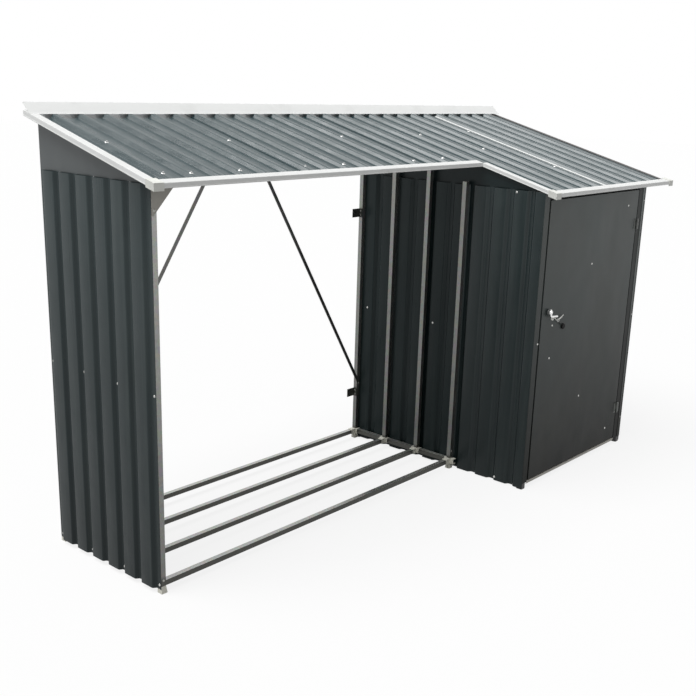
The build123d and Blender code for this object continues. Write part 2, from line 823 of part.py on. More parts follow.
def knuckle(base, direction):
    """One knuckle and the tab that joins it to its leaf."""
    near = hinge_x + direction * (knuckle_radius + hinge_leaf_gap)
    with BuildSketch(Plane.XY.offset(base)) as outline:
        with Locations((hinge_x, hinge_y)):
            Circle(knuckle_radius)
        with Locations(((hinge_x + near) / 2, y_shed - hinge_leaf_thickness / 2)):
            Rectangle(abs(near - hinge_x), hinge_leaf_thickness)
    extrude(outline.sketch, amount=knuckle_height)


with BuildPart() as hinge_frame_leaves:
    for base in (lower_hinge_height, upper_hinge_height):
        hinge_plate(base, 1)
        knuckle(base, 1)
        knuckle(base + 2 * knuckle_step, 1)
        with BuildSketch(Plane.XY.offset(base)):
            with Locations((hinge_x, hinge_y)):
                Circle(hinge_pin_radius)
        extrude(amount=2 * knuckle_step + knuckle_height)
finish(hinge_frame_leaves.part, "hinge_frame_leaves")

with BuildPart() as hinge_door_leaves:
    for base in (lower_hinge_height, upper_hinge_height):
        hinge_plate(base, -1)
        knuckle(base + knuckle_step, -1)
        with BuildSketch(Plane.XY.offset(base)):
            with Locations((hinge_x, hinge_y)):
                Circle(hinge_pin_radius + hinge_pin_clearance)
        extrude(amount=2 * knuckle_step + knuckle_height, mode=Mode.SUBTRACT)
finish(hinge_door_leaves.part, "hinge_door_leaves")

print(f"overall {overall_length:.1f} x {overall_depth:.1f} mm")
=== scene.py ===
import json
import math

import bmesh
import bpy
from mathutils import Matrix, Vector


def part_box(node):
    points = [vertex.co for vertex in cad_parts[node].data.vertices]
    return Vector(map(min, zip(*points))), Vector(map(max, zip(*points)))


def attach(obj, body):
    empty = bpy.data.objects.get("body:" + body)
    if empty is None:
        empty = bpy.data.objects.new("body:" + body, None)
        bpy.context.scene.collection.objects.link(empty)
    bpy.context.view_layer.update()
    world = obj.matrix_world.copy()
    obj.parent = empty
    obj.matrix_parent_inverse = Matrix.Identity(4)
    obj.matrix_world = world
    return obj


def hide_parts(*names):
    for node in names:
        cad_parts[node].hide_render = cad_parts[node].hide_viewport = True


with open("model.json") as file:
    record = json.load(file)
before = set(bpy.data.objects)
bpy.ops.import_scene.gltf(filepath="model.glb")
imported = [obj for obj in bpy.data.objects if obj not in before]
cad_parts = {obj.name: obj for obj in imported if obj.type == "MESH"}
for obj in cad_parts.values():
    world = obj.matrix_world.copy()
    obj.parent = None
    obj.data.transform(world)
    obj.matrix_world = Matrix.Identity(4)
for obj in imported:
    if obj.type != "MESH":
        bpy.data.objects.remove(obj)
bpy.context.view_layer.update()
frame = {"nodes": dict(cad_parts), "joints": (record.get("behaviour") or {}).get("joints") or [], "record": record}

UP = Vector((0, 0, 1))
FRONT = Vector((0, -1, 0))
BACK = Vector((0, 1, 0))
LEFT = Vector((-1, 0, 0))
RIGHT = Vector((1, 0, 0))


# Camera, at the photograph's viewing angle

PICTURE_WIDTH = 696
CAMERA_PLACE = Vector((-2.9705, -2.343, 1.539))
CAMERA_YAW = math.radians(-49.133)
CAMERA_PITCH = math.radians(-16.341)
CAMERA_ROLL = math.radians(1.782)
SENSOR_WIDTH = 36.0
LENS = 51.48
SHIFT_X = -0.0068
SHIFT_Y = 0.0418


def camera_axes():
    """The camera's right, up and forward directions."""
    forward = Vector((
        -math.sin(CAMERA_YAW) * math.cos(CAMERA_PITCH),
        math.cos(CAMERA_YAW) * math.cos(CAMERA_PITCH),
        math.sin(CAMERA_PITCH),
    ))
    level_right = forward.cross(UP).normalized()
    level_up = level_right.cross(forward)
    right = math.cos(CAMERA_ROLL) * level_right + math.sin(CAMERA_ROLL) * level_up
    up = math.cos(CAMERA_ROLL) * level_up - math.sin(CAMERA_ROLL) * level_right
    return right, up, forward


def make_camera():
    """A camera that looks at the front left corner from standing height."""
    right, up, forward = camera_axes()
    turn = Matrix((right, up, -forward)).transposed()
    data = bpy.data.cameras.new("camera")
    data.lens = LENS
    data.sensor_width = SENSOR_WIDTH
    data.shift_x = SHIFT_X
    data.shift_y = SHIFT_Y
    data.clip_start = 0.05
    data.clip_end = 100
    camera = bpy.data.objects.new("camera", data)
    camera.matrix_world = Matrix.Translation(CAMERA_PLACE) @ turn.to_4x4()
    bpy.context.scene.collection.objects.link(camera)
    bpy.context.scene.camera = camera


def seen_on_plane(pixel, point, normal):
    """The place on a plane that lies behind a pixel of the photograph's frame."""
    right, up, forward = camera_axes()
    focal = LENS / SENSOR_WIDTH * PICTURE_WIDTH
    across = pixel[0] - PICTURE_WIDTH * (0.5 - SHIFT_X)
    down = pixel[1] - PICTURE_WIDTH * (0.5 + SHIFT_Y)
    ray = forward + right * (across / focal) - up * (down / focal)
    reach = (point - CAMERA_PLACE).dot(normal) / ray.dot(normal)
    return CAMERA_PLACE + ray * reach


make_camera()


# Places taken from the frame

ROOF_SLOPE = math.radians(15)
RISE = math.tan(ROOF_SLOPE)
ROOF_NORMAL = Vector((0, -math.sin(ROOF_SLOPE), math.cos(ROOF_SLOPE)))
CAD_SHEET = 0.001
RIB_HEIGHT = 0.012
TRIM_SHEET = 0.0012
TUBE = 0.018

X_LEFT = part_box("gable_infills")[0][0]
X_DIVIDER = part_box("divider_wall_panel")[0][0]
X_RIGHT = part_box("right_wall_panel")[1][0]
Y_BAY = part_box("left_posts")[0][1]
Y_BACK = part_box("left_posts")[1][1]
Y_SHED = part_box("door_skin")[0][1]
ROOF_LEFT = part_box("back_flashing")[0][0]
ROOF_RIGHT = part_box("back_flashing")[1][0]
ROOF_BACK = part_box("back_flashing")[1][1]
BAY_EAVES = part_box("bay_eaves_trim")[0][1]
SHED_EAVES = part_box("shed_eaves_trim")[0][1]
FRONT_BEAM_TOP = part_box("front_eaves_beam")[1][2]
LEFT_POST_X = X_LEFT + CAD_SHEET + TUBE / 2
DIVIDER_POST_X = X_DIVIDER - TUBE / 2


def under_roof(y):
    """Height of the underside of the roof sheets."""
    return FRONT_BEAM_TOP + (y - Y_BAY) * RISE


def roof_surface(y):
    """Height of the roof's outer surface, on top of the trims."""
    return under_roof(y) + (TRIM_SHEET + RIB_HEIGHT + CAD_SHEET) / math.cos(ROOF_SLOPE)


# Material nodes in short calls

GRAIN_HEIGHT = 0.00003


class Shade:
    """A material whose nodes are added by short calls."""

    def __init__(self, name, colour, roughness, metallic=0.0, specular=0.5):
        self.material = bpy.data.materials.new(name)
        self.material.use_nodes = True
        self.nodes = self.material.node_tree.nodes
        self.links = self.material.node_tree.links
        self.shader = self.nodes["Principled BSDF"]
        self.shader.inputs["Base Color"].default_value = (*colour, 1)
        self.shader.inputs["Roughness"].default_value = roughness
        self.shader.inputs["Metallic"].default_value = metallic
        self.shader.inputs["Specular IOR Level"].default_value = specular
        self.place = self.nodes.new("ShaderNodeTexCoord").outputs["Object"]

    def join(self, source, target):
        if isinstance(source, bpy.types.NodeSocket):
            self.links.new(source, target)
        else:
            target.default_value = source

    def stretched(self, stretch, offset=(0, 0, 0)):
        """The piece's own coordinates, scaled along each axis."""
        mapping = self.nodes.new("ShaderNodeMapping")
        self.links.new(self.place, mapping.inputs["Vector"])
        mapping.inputs["Scale"].default_value = stretch
        mapping.inputs["Location"].default_value = offset
        return mapping.outputs["Vector"]

    def noise(self, scale, detail=3.0, roughness=0.55, stretch=(1, 1, 1), offset=(0, 0, 0)):
        noise = self.nodes.new("ShaderNodeTexNoise")
        self.links.new(self.stretched(stretch, offset), noise.inputs["Vector"])
        noise.inputs["Scale"].default_value = scale
        noise.inputs["Detail"].default_value = detail
        noise.inputs["Roughness"].default_value = roughness
        return noise.outputs["Fac"]

    def grain(self, scale, height=GRAIN_HEIGHT):
        """A layer of fine, shallow bumps, with its height in metres."""
        return self.noise(scale, 2.0, 0.5), height

    def cells(self, scale):
        """A colour for each cell of an uneven pattern."""
        cells = self.nodes.new("ShaderNodeTexVoronoi")
        self.links.new(self.place, cells.inputs["Vector"])
        cells.inputs["Scale"].default_value = scale
        return cells.outputs["Color"]

    def spread(self, value, low, high, start=0.0, end=1.0):
        """A value taken from one range to another, and held inside it."""
        node = self.nodes.new("ShaderNodeMapRange")
        self.links.new(value, node.inputs["Value"])
        node.inputs["From Min"].default_value = low
        node.inputs["From Max"].default_value = high
        node.inputs["To Min"].default_value = start
        node.inputs["To Max"].default_value = end
        return node.outputs["Result"]

    def maths(self, operation, first, second):
        node = self.nodes.new("ShaderNodeMath")
        node.operation = operation
        self.join(first, node.inputs[0])
        self.join(second, node.inputs[1])
        return node.outputs["Value"]

    def blend(self, share, first, second, kind="MIX"):
        """Two colours mixed by a share that varies over the surface."""
        node = self.nodes.new("ShaderNodeMix")
        node.data_type = "RGBA"
        node.blend_type = kind
        self.join(share, node.inputs["Factor"])
        ends = [socket for socket in node.inputs if socket.type == "RGBA"]
        for socket, value in zip(ends, (first, second)):
            is_linked = isinstance(value, bpy.types.NodeSocket)
            self.join(value if is_linked else (*value, 1), socket)
        return [socket for socket in node.outputs if socket.type == "RGBA"][0]

    def along(self, axis):
        """Distance along one axis of the shared frame, in metres."""
        split = self.nodes.new("ShaderNodeSeparateXYZ")
        self.links.new(self.place, split.inputs["Vector"])
        return split.outputs[axis]

    def colour(self, value):
        self.links.new(value, self.shader.inputs["Base Color"])

    def roughness(self, value):
        self.links.new(value, self.shader.inputs["Roughness"])

    def specular(self, value):
        self.links.new(value, self.shader.inputs["Specular IOR Level"])

    def bump(self, *layers):
        """Bumps laid on each other, each with its height in metres."""
        normal = None
        for value, distance in layers:
            node = self.nodes.new("ShaderNodeBump")
            node.inputs["Strength"].default_value = 1.0
            node.inputs["Distance"].default_value = distance
            self.links.new(value, node.inputs["Height"])
            if normal:
                self.links.new(normal, node.inputs["Normal"])
            normal = node.outputs["Normal"]
        self.links.new(normal, self.shader.inputs["Normal"])


def scaled(colour, factor):
    return tuple(channel * factor for channel in colour)


# Materials

ROOF_COLOUR = (0.011, 0.038, 0.045)
EDGE_COLOUR = (0.105, 0.098, 0.096)
# LEFT_WALL_COLOUR and SHED_WALL_COLOUR are lit and shaded copies of one sheet colour: the left wall's lighter one
# is painted light, the shed walls' darker one painted shade.
LEFT_WALL_COLOUR = (0.026, 0.038, 0.040)
SHED_WALL_COLOUR = (0.011, 0.021, 0.022)
GABLE_COLOUR = (0.085, 0.098, 0.101)
DOOR_COLOUR = (0.062, 0.076, 0.074)
DUST_COLOUR = (0.15, 0.17, 0.16)
WHITE_COLOUR = (0.81, 0.82, 0.81)
# FLASHING_COLOUR is whiter than WHITE_COLOUR: painted light on the rear flashing, which is the same white trim.
FLASHING_COLOUR = (0.94, 0.95, 0.94)
GRIME_COLOUR = (0.42, 0.42, 0.39)
ZINC_COLOUR = (0.42, 0.43, 0.41)
PALE_ZINC_COLOUR = (0.58, 0.58, 0.54)
# Painted shade on the lowest sides of galvanised parts.
LOW_SIDE_SHADE_COLOUR = (0.060, 0.060, 0.054)
DOOR_STAIN_COLOUR = (0.050, 0.050, 0.042)

# Noise scales of fine bumps
COAT_GRAIN = 750.0
TRIM_GRAIN = 700.0
METAL_GRAIN = 400.0
PLASTIC_GRAIN = 900.0
PLASTIC_GRAIN_HEIGHT = 0.00004
BAY_FRONT_BLUR = 0.03
# Where the gable's painted light fades into its painted shade, measured from the left end.
PALE_GABLE_END = 0.3
DARK_GABLE_START = 0.9


def coated_sheet(name, colour, roughness, along, dust, gloss, low_share=1.0, inside_share=1.0):
    """Thin steel with a satin coat, with painted shade: darker and less glossy near the ground, and less glossy
    inside the bay.

    It has streaks along one axis, dust and slight waves.
    """
    shade = Shade(name, colour, roughness)
    streak_stretch = [42.0, 42.0, 42.0]
    streak_stretch["XYZ".index(along)] = 1.3
    streaks = shade.noise(1.0, 4.0, 0.6, streak_stretch)
    patches = shade.noise(3.1, 4.0, 0.6, offset=(3.1, 0.7, 1.9))
    specks = shade.noise(420.0, 2.0, 0.7)
    height = shade.along("Z")
    # Painted shade: the colour goes from low_share of itself at the ground to high_share at the top.
    high_share = 2.3 - 1.3 * low_share
    rise = shade.spread(height, 0.0, 1.3)
    tone = shade.blend(rise, scaled(colour, low_share), scaled(colour, high_share))
    patchy = shade.blend(shade.spread(patches, 0.35, 0.68, 0.0, 0.5), tone, scaled(colour, 0.72))
    streaked = shade.blend(shade.spread(streaks, 0.50, 0.78, 0.0, dust), patchy, DUST_COLOUR)
    speckled = shade.spread(specks, 0.62, 0.78, 0.0, dust)
    shade.colour(shade.blend(speckled, streaked, DUST_COLOUR))
    # Painted shade: the gloss drops towards the ground and inside the bay.
    bay_front, bay_start = Y_BAY - BAY_FRONT_BLUR, Y_BAY + BAY_FRONT_BLUR
    inside = shade.spread(shade.along("Y"), bay_front, bay_start, 1.0, inside_share)
    shade.specular(shade.maths("MULTIPLY", shade.spread(height, 0.0, 1.2, *gloss), inside))
    worn = shade.maths("ADD", shade.spread(streaks, 0.35, 0.75, -0.07, 0.12), roughness)
    shade.roughness(shade.maths("ADD", worn, shade.spread(patches, 0.3, 0.7, -0.04, 0.05)))
    waves = shade.noise(5.5, 2.0, 0.5, offset=(0.3, 1.1, 0.2))
    shade.bump((waves, 0.0045), shade.grain(COAT_GRAIN))
    return shade.material


def gable_coat():
    """The flat gable sheets: painted light makes the outer end paler and glossier than the pair inside the step,
    which take the shed walls' darker colour as painted shade.
    """
    shade = Shade("gable_sheet", GABLE_COLOUR, 0.34)
    pale_end, dark_start = X_LEFT + PALE_GABLE_END, X_LEFT + DARK_GABLE_START
    # Painted light: 1 at the outer end, 0 inside the step.
    outer = shade.spread(shade.along("X"), pale_end, dark_start, 1.0, 0.0)
    patches = shade.noise(4.0, 4.0, 0.6)
    base = shade.blend(outer, SHED_WALL_COLOUR, GABLE_COLOUR)
    dull = scaled(GABLE_COLOUR, 0.6)
    shade.colour(shade.blend(shade.spread(patches, 0.4, 0.8, 0.0, 0.35), base, dull))
    shade.specular(shade.spread(outer, 0.0, 1.0, 0.22, 0.45))
    shade.roughness(shade.spread(patches, 0.3, 0.75, 0.28, 0.42))
    shade.bump((shade.noise(5.0, 2.0, 0.5), 0.004), shade.grain(COAT_GRAIN))
    return shade.material


def door_coat(name, share, gloss):
    """Flat coated sheet: a painted reflection makes it paler and glossier towards the top and darker towards the
    bottom, with stains, dusty rubbed marks and slight dents.
    """
    shade = Shade(name, DOOR_COLOUR, 0.34)
    height = shade.along("Z")
    high = shade.spread(height, 0.05, 1.15)
    patches = shade.noise(2.6, 4.0, 0.6, offset=(0.4, 2.2, 0.1))
    smears = shade.noise(1.0, 4.0, 0.65, (9.0, 9.0, 2.2), (1.7, 0.2, 0.9))
    # Painted reflection: the colour grows from dark at the bottom to pale at the top.
    base = shade.blend(high, scaled(DOOR_COLOUR, 0.16 * share), scaled(DOOR_COLOUR, 1.3 * share))
    stain = scaled(DOOR_STAIN_COLOUR, share)
    tinted = shade.blend(shade.spread(patches, 0.4, 0.7, 0.0, 0.4), base, stain)
    shade.colour(shade.blend(shade.spread(smears, 0.52, 0.8, 0.0, 0.12 * share), tinted, DUST_COLOUR))
    shade.specular(shade.spread(height, 0.05, 1.0, *gloss))
    shade.roughness(shade.maths("ADD", shade.spread(smears, 0.3, 0.75, -0.06, 0.10), 0.34))
    dents = shade.noise(3.4, 2.0, 0.5, offset=(2.0, 0.0, 0.6))
    shade.bump((dents, 0.005), shade.grain(COAT_GRAIN))
    return shade.material


def white_coat(name, colour):
    """White coated trim with faint grime and scratches along its length."""
    shade = Shade(name, colour, 0.38)
    patches = shade.noise(7.0, 4.0, 0.65)
    scratches = shade.noise(1.0, 3.0, 0.6, (5.0, 5.0, 260.0))
    base = shade.blend(shade.spread(patches, 0.52, 0.85, 0.0, 0.22), colour, GRIME_COLOUR)
    shade.colour(shade.blend(shade.spread(scratches, 0.66, 0.8, 0.0, 0.10), base, GRIME_COLOUR))
    shade.roughness(shade.spread(patches, 0.3, 0.75, 0.30, 0.48))
    shade.bump((shade.noise(16.0, 2.0, 0.5), 0.0012), shade.grain(TRIM_GRAIN))
    return shade.material


def zinc(name, low_share, high_share):
    """Galvanised steel: spangle and dull patches, with painted light on faces that point up and painted shade that
    darkens it towards the ground and on its lowest sides.
    """
    shade = Shade(name, ZINC_COLOUR, 0.36, 0.8)
    spangle = shade.cells(95.0)
    patches = shade.noise(6.0, 5.0, 0.65)
    fine = shade.noise(240.0, 3.0, 0.6)
    height = shade.along("Z")
    base = shade.blend(0.10, ZINC_COLOUR, spangle, "OVERLAY")
    dull = shade.blend(shade.spread(patches, 0.42, 0.72, 0.0, 0.6), base, PALE_ZINC_COLOUR)
    marked = shade.blend(shade.spread(fine, 0.58, 0.8, 0.0, 0.30), dull, scaled(ZINC_COLOUR, 0.5))
    facing = shade.nodes.new("ShaderNodeSeparateXYZ")
    geometry = shade.nodes.new("ShaderNodeNewGeometry")
    shade.links.new(geometry.outputs["True Normal"], facing.inputs["Vector"])
    # Painted light: faces that point up stay bright, the rest darken towards the ground as painted shade.
    upward = shade.spread(facing.outputs["Z"], 0.5, 0.9)
    bright = shade.maths("MAXIMUM", shade.spread(height, 0.05, 1.25, low_share, high_share), upward)
    toned = shade.blend(1.0, marked, bright, "MULTIPLY")
    # Painted shade on the lowest sides, near the floor.
    low = shade.spread(height, 0.044, 0.060, 1.0, 0.0)
    low_side_shade = shade.maths("MULTIPLY", low, shade.spread(upward, 0.0, 1.0, 0.92, 0.0))
    shade.colour(shade.blend(low_side_shade, toned, LOW_SIDE_SHADE_COLOUR))
    shade.roughness(shade.maths("ADD", shade.spread(patches, 0.3, 0.75, -0.08, 0.16), 0.36))
    shade.bump((shade.noise(30.0, 3.0, 0.5), 0.0005), (fine, 0.00006))
    return shade.material


def plated(name, colour, roughness):
    """Bright metal with faint smears."""
    shade = Shade(name, colour, roughness, 1.0)
    smears = shade.noise(90.0, 4.0, 0.6)
    shade.colour(shade.blend(shade.spread(smears, 0.55, 0.8, 0.0, 0.35), colour, scaled(colour, 0.6)))
    shade.roughness(shade.spread(smears, 0.3, 0.75, roughness * 0.7, roughness * 1.8))
    shade.bump(shade.grain(METAL_GRAIN))
    return shade.material


def moulded(name, colour, roughness, specular=0.5):
    """Plastic or dull coated metal: a fine grain, cloudy colour and light scuffs."""
    shade = Shade(name, colour, roughness, 0.0, specular)
    clouds = shade.noise(22.0, 4.0, 0.6)
    scuffs = shade.noise(160.0, 3.0, 0.7)
    base = shade.blend(shade.spread(clouds, 0.35, 0.7), scaled(colour, 0.9), scaled(colour, 1.04))
    shade.colour(shade.blend(shade.spread(scuffs, 0.62, 0.8, 0.0, 0.3), base, scaled(colour, 0.62)))
    shade.roughness(shade.spread(clouds, 0.3, 0.7, roughness - 0.06, roughness + 0.10))
    shade.bump(shade.grain(PLASTIC_GRAIN, PLASTIC_GRAIN_HEIGHT))
    return shade.material


materials = {
    "roof_sheet": coated_sheet("roof_sheet", ROOF_COLOUR, 0.30, "Y", 0.18, (0.76, 0.76)),
    # low_share and inside_share give the shed walls painted shade near the ground and inside the bay.
    "wall_sheet": coated_sheet("wall_sheet", SHED_WALL_COLOUR, 0.36, "Z", 0.10, (0.23, 0.43), 0.7, 0.55),
    "door_sheet": door_coat("door_sheet", 1.0, (0.07, 0.24)),
    "white_trim": white_coat("white_trim", WHITE_COLOUR),
    "dark_trim": coated_sheet("dark_trim", EDGE_COLOUR, 0.34, "Y", 0.2, (0.6, 0.6)),
    "galvanised": zinc("galvanised", 0.40, 0.84),
    "plated_metal": plated("plated_metal", (0.78, 0.78, 0.77), 0.16),
    "dark_fittings": moulded("dark_fittings", (0.020, 0.026, 0.026), 0.38),
    "white_plastic": moulded("white_plastic", (0.84, 0.85, 0.80), 0.42),
    "grey_plastic": moulded("grey_plastic", (0.80, 0.79, 0.70), 0.5),
    "black_plastic": moulded("black_plastic", (0.012, 0.012, 0.013), 0.42),
}
# The left wall's lighter copy of the wall sheet: painted light.
LEFT_WALL = coated_sheet("left_wall_sheet", LEFT_WALL_COLOUR, 0.34, "Z", 0.16, (0.18, 0.27), 0.55)
# Darker copies of the galvanised finish: painted shade on the divider posts and the rear braces inside the bay.
DIVIDER_ZINC = zinc("divider_zinc", 0.33, 0.68)
BRACE_ZINC = zinc("brace_zinc", 0.30, 0.42)
DULL_BOLT = plated("dull_bolt", (0.34, 0.34, 0.32), 0.4)
SOFT_BRIGHT = plated("soft_bright", (0.56, 0.56, 0.54), 0.35)
HINGE_STEEL = moulded("hinge_steel", (0.17, 0.18, 0.17), 0.30)
# A whiter copy of the trims' coat: painted light on the rear flashing.
FLASHING_COAT = white_coat("flashing_coat", FLASHING_COLOUR)
# A paler copy of the door's coat: a painted highlight on the fold of the hinge jamb.
FOLD_HIGHLIGHT_COAT = door_coat("strip_coat", 1.5, (0.06, 0.34))
FOB_RUBBER = moulded("fob_rubber", (0.010, 0.010, 0.010), 0.6, 0.12)
GUSSET_ZINC = moulded("gusset_zinc", (0.50, 0.48, 0.43), 0.42)
BRACKET_COAT = moulded("bracket_coat", (0.045, 0.048, 0.042), 0.42)
OWN_FINISH = {
    "gable_infills": gable_coat(),
    # The hinge jamb and the header take darker copies of the door's coat: painted shade in the recess round the
    # door.
    "right_door_jamb": door_coat("hinge_jamb", 0.40, (0.05, 0.10)),
    "left_door_jamb": door_coat("latch_jamb", 0.85, (0.05, 0.22)),
    "door_header": door_coat("door_header", 0.40, (0.05, 0.10)),
    "hinge_frame_leaves": HINGE_STEEL,
    "hinge_door_leaves": HINGE_STEEL,
    # The lock body takes the dark fittings' colour: partly a dark escutcheon, partly painted shade beside the
    # lever.
    "lock_body": materials["dark_fittings"],
    "corner_gusset": GUSSET_ZINC,
    "divider_posts": DIVIDER_ZINC,
    "rear_braces": BRACE_ZINC,
    "wall_brackets": BRACKET_COAT,
}

CAD_EDGE = 0.0006
MOULDED_EDGE = 0.0011
EDGE_ANGLE = math.radians(50)


def round_edges(piece, width):
    """A small rounding on a piece's sharp edges."""
    rounding = piece.modifiers.new("edges", "BEVEL")
    rounding.width = width
    rounding.segments = 2
    rounding.limit_method = "ANGLE"
    rounding.angle_limit = EDGE_ANGLE


for entry in frame["record"]["subparts"]:
    node = frame["nodes"][entry["node"]]
    node.data.materials.clear()
    node.data.materials.append(OWN_FINISH.get(entry["node"], materials[entry["material_slot"]]))
    is_moulded = entry["material_slot"].endswith("plastic")
    round_edges(node, MOULDED_EDGE if is_moulded else CAD_EDGE)


# Mesh helpers

SHEET_SMOOTH = math.radians(32)
SMALL_SMOOTH = math.radians(40)
CORNER_SHARE = 0.45
TINY = 1e-6


def finish_piece(name, mesh, slot_name, body="store", replaced=(), finish=None):
    """An object from a mesh, with its material, body and the nodes it stands for."""
    mesh.materials.append(finish or materials[slot_name])
    piece = bpy.data.objects.new(name, mesh)
    bpy.context.scene.collection.objects.link(piece)
    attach(piece, body)
    if replaced:
        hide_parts(*replaced)
    return piece


def mesh_from(bm, name, smooth_angle=None):
    """A mesh from a bmesh, with its faces smooth where they turn gently."""
    bmesh.ops.recalc_face_normals(bm, faces=bm.faces)
    mesh = bpy.data.meshes.new(name)
    bm.to_mesh(mesh)
    bm.free()
    if smooth_angle:
        mesh.shade_smooth()
        mesh.set_sharp_from_angle(angle=smooth_angle)
    return mesh


def rounded_line(points, radius, steps=3):
    """A line through 2-D points whose corners are short curves."""
    points = [Vector(point) for point in points]
    line = [points[0]]
    for before, corner, after in zip(points, points[1:], points[2:]):
        to_before = before - corner
        to_after = after - corner
        shorter = min(to_before.length, to_after.length)
        reach = min(radius, CORNER_SHARE * shorter)
        start = corner + to_before.normalized() * reach
        end = corner + to_after.normalized() * reach
        for i in range(steps + 1):
            t = i / steps
            line.append(start * (1 - t) ** 2 + corner * 2 * t * (1 - t) + end * t ** 2)
    line.append(points[-1])
    return line


def thin_sheet(name, rows, outward, thickness, skipped=()):
    """A mesh of a sheet over rows of points, with its thickness behind its outer side.

    Skipped cells, each a row and a column, stay open.
    """
    bm = bmesh.new()
    outer = [[bm.verts.new(point) for point in row] for row in rows]
    faces = []
    for i in range(len(rows) - 1):
        for j in range(len(rows[0]) - 1):
            if (i, j) in skipped:
                continue
            corners = (outer[i][j], outer[i][j + 1], outer[i + 1][j + 1], outer[i + 1][j])
            faces.append(bm.faces.new(corners))
    loose = [vert for row in outer for vert in row if not vert.link_faces]
    bmesh.ops.delete(bm, geom=loose, context="VERTS")
    bm.normal_update()
    lean = sum((face.normal * face.calc_area() for face in faces), Vector())
    if lean.dot(outward) < 0:
        bmesh.ops.reverse_faces(bm, faces=faces)
        bm.normal_update()
    bmesh.ops.solidify(bm, geom=list(bm.faces), thickness=thickness)
    return mesh_from(bm, name, SHEET_SMOOTH)


# Corrugated sheets

SHEET = 0.0004
BEND = 0.0035
RIB_BASE = 0.036
RIB_CREST = 0.018


def rib_line(length, ribs, base, crest, lift):
    """Section of a sheet: flats along the first axis and ribs that rise along the second."""
    line = [(0, 0)]
    for centre in ribs:
        line += [(centre - base / 2, 0), (centre - crest / 2, lift)]
        line += [(centre + crest / 2, lift), (centre + base / 2, 0)]
    line.append((length, 0))
    return rounded_line(line, BEND)


ROOF_PITCH = 0.094
ROOF_FIRST_RIB = 0.088
ROOF_RIB_COUNT = 26
ROOF_LAP_RIBS = (7, 14, 22)
LAP_FLAT = 0.008
LAP_RISE = 0.0011
roof_ribs = [ROOF_LEFT + ROOF_FIRST_RIB + ROOF_PITCH * i for i in range(ROOF_RIB_COUNT)]


def roof_sheets():
    """Four sheets on the roof, each laid over the last rib of the one before."""
    laps = [roof_ribs[count - 1] + RIB_BASE / 2 + LAP_FLAT for count in ROOF_LAP_RIBS]
    edges = [ROOF_LEFT + TRIM_SHEET] + laps + [ROOF_RIGHT - TRIM_SHEET]
    back = ROOF_BACK - TRIM_SHEET
    front_inset = TRIM_SHEET + (RIB_HEIGHT + CAD_SHEET) * math.sin(ROOF_SLOPE)
    for number, (left, right) in enumerate(zip(edges, edges[1:]), start=1):
        start = left if number == 1 else left - RIB_BASE - 2 * LAP_FLAT
        ribs = [rib - start for rib in roof_ribs if start < rib < right]
        line = rib_line(right - start, ribs, RIB_BASE, RIB_CREST, RIB_HEIGHT)
        step_at = X_DIVIDER - TRIM_SHEET - start
        steps = 0 < step_at < right - start
        if steps:
            line = sorted(line + [Vector((step_at, 0))], key=lambda point: point.x)
        over_shed = right > X_DIVIDER
        fronts = [back, BAY_EAVES + front_inset]
        if over_shed:
            fronts.append(SHED_EAVES + front_inset)
        rows = []
        for y in fronts:
            row = []
            for point in line:
                on_lap = number > 1 and point.x < RIB_BASE + 2 * LAP_FLAT
                lift = CAD_SHEET + point.y + (LAP_RISE if on_lap else 0)
                base = Vector((start + point.x, y, under_roof(y)))
                row.append(base + ROOF_NORMAL * lift)
            rows.append(row)
        skipped = set()
        if steps:
            skipped = {(1, j) for j, point in enumerate(line) if point.x < step_at - TINY}
        node = f"roof_sheet_{number}"
        mesh = thin_sheet(f"{node}_dressed", rows, ROOF_NORMAL, SHEET, skipped)
        finish_piece(f"{node}_dressed", mesh, "roof_sheet", "store", [node])


LEFT_FIRST_RIB = 0.0565
LEFT_PITCH = 0.087
LEFT_RIB_COUNT = 6
LEFT_RIB_BASE = 0.072
LEFT_RIB_CREST = 0.056
SHED_FIRST_RIB = 0.060
SHED_PITCH = 0.092


def upright_sheet(node, start, along, outward, line, finish=None):
    """A corrugated wall sheet as high as its node, cut along the roof at its top."""
    low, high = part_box(node)
    rows = []
    for height in (low[2], high[2]):
        row = []
        for point in line:
            place = start + along * point.x - outward * point.y
            place.z = min(height, under_roof(place.y))
            row.append(place)
        rows.append(row)
    mesh = thin_sheet(f"{node}_dressed", rows, outward, SHEET)
    finish_piece(f"{node}_dressed", mesh, "wall_sheet", "store", [node], finish)


def shed_rib_line(length):
    """Section of one of the shed's wall sheets."""
    count = int((length - 2 * SHED_FIRST_RIB) / SHED_PITCH + TINY) + 1
    ribs = [SHED_FIRST_RIB + SHED_PITCH * i for i in range(count)]
    return rib_line(length, ribs, RIB_BASE, RIB_CREST, RIB_HEIGHT)


def wall_sheets():
    """The four corrugated walls."""
    left_ribs = [LEFT_FIRST_RIB + LEFT_PITCH * i for i in range(LEFT_RIB_COUNT)]
    left_line = rib_line(Y_BACK - Y_BAY, left_ribs, LEFT_RIB_BASE, LEFT_RIB_CREST, -RIB_HEIGHT)
    start = Vector((X_LEFT, Y_BAY, 0))
    upright_sheet("left_wall_panel", start, BACK, LEFT, left_line, LEFT_WALL)

    low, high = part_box("divider_wall_panel")
    side_line = shed_rib_line(high[1] - low[1])
    start = Vector((X_DIVIDER, low[1], 0))
    upright_sheet("divider_wall_panel", start, BACK, LEFT, side_line)
    start = Vector((X_RIGHT, low[1], 0))
    upright_sheet("right_wall_panel", start, BACK, RIGHT, side_line)

    low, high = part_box("back_wall_panel")
    start = Vector((low[0], Y_BACK, 0))
    upright_sheet("back_wall_panel", start, RIGHT, BACK, shed_rib_line(high[0] - low[0]))


roof_sheets()
wall_sheets()


# Folded trims

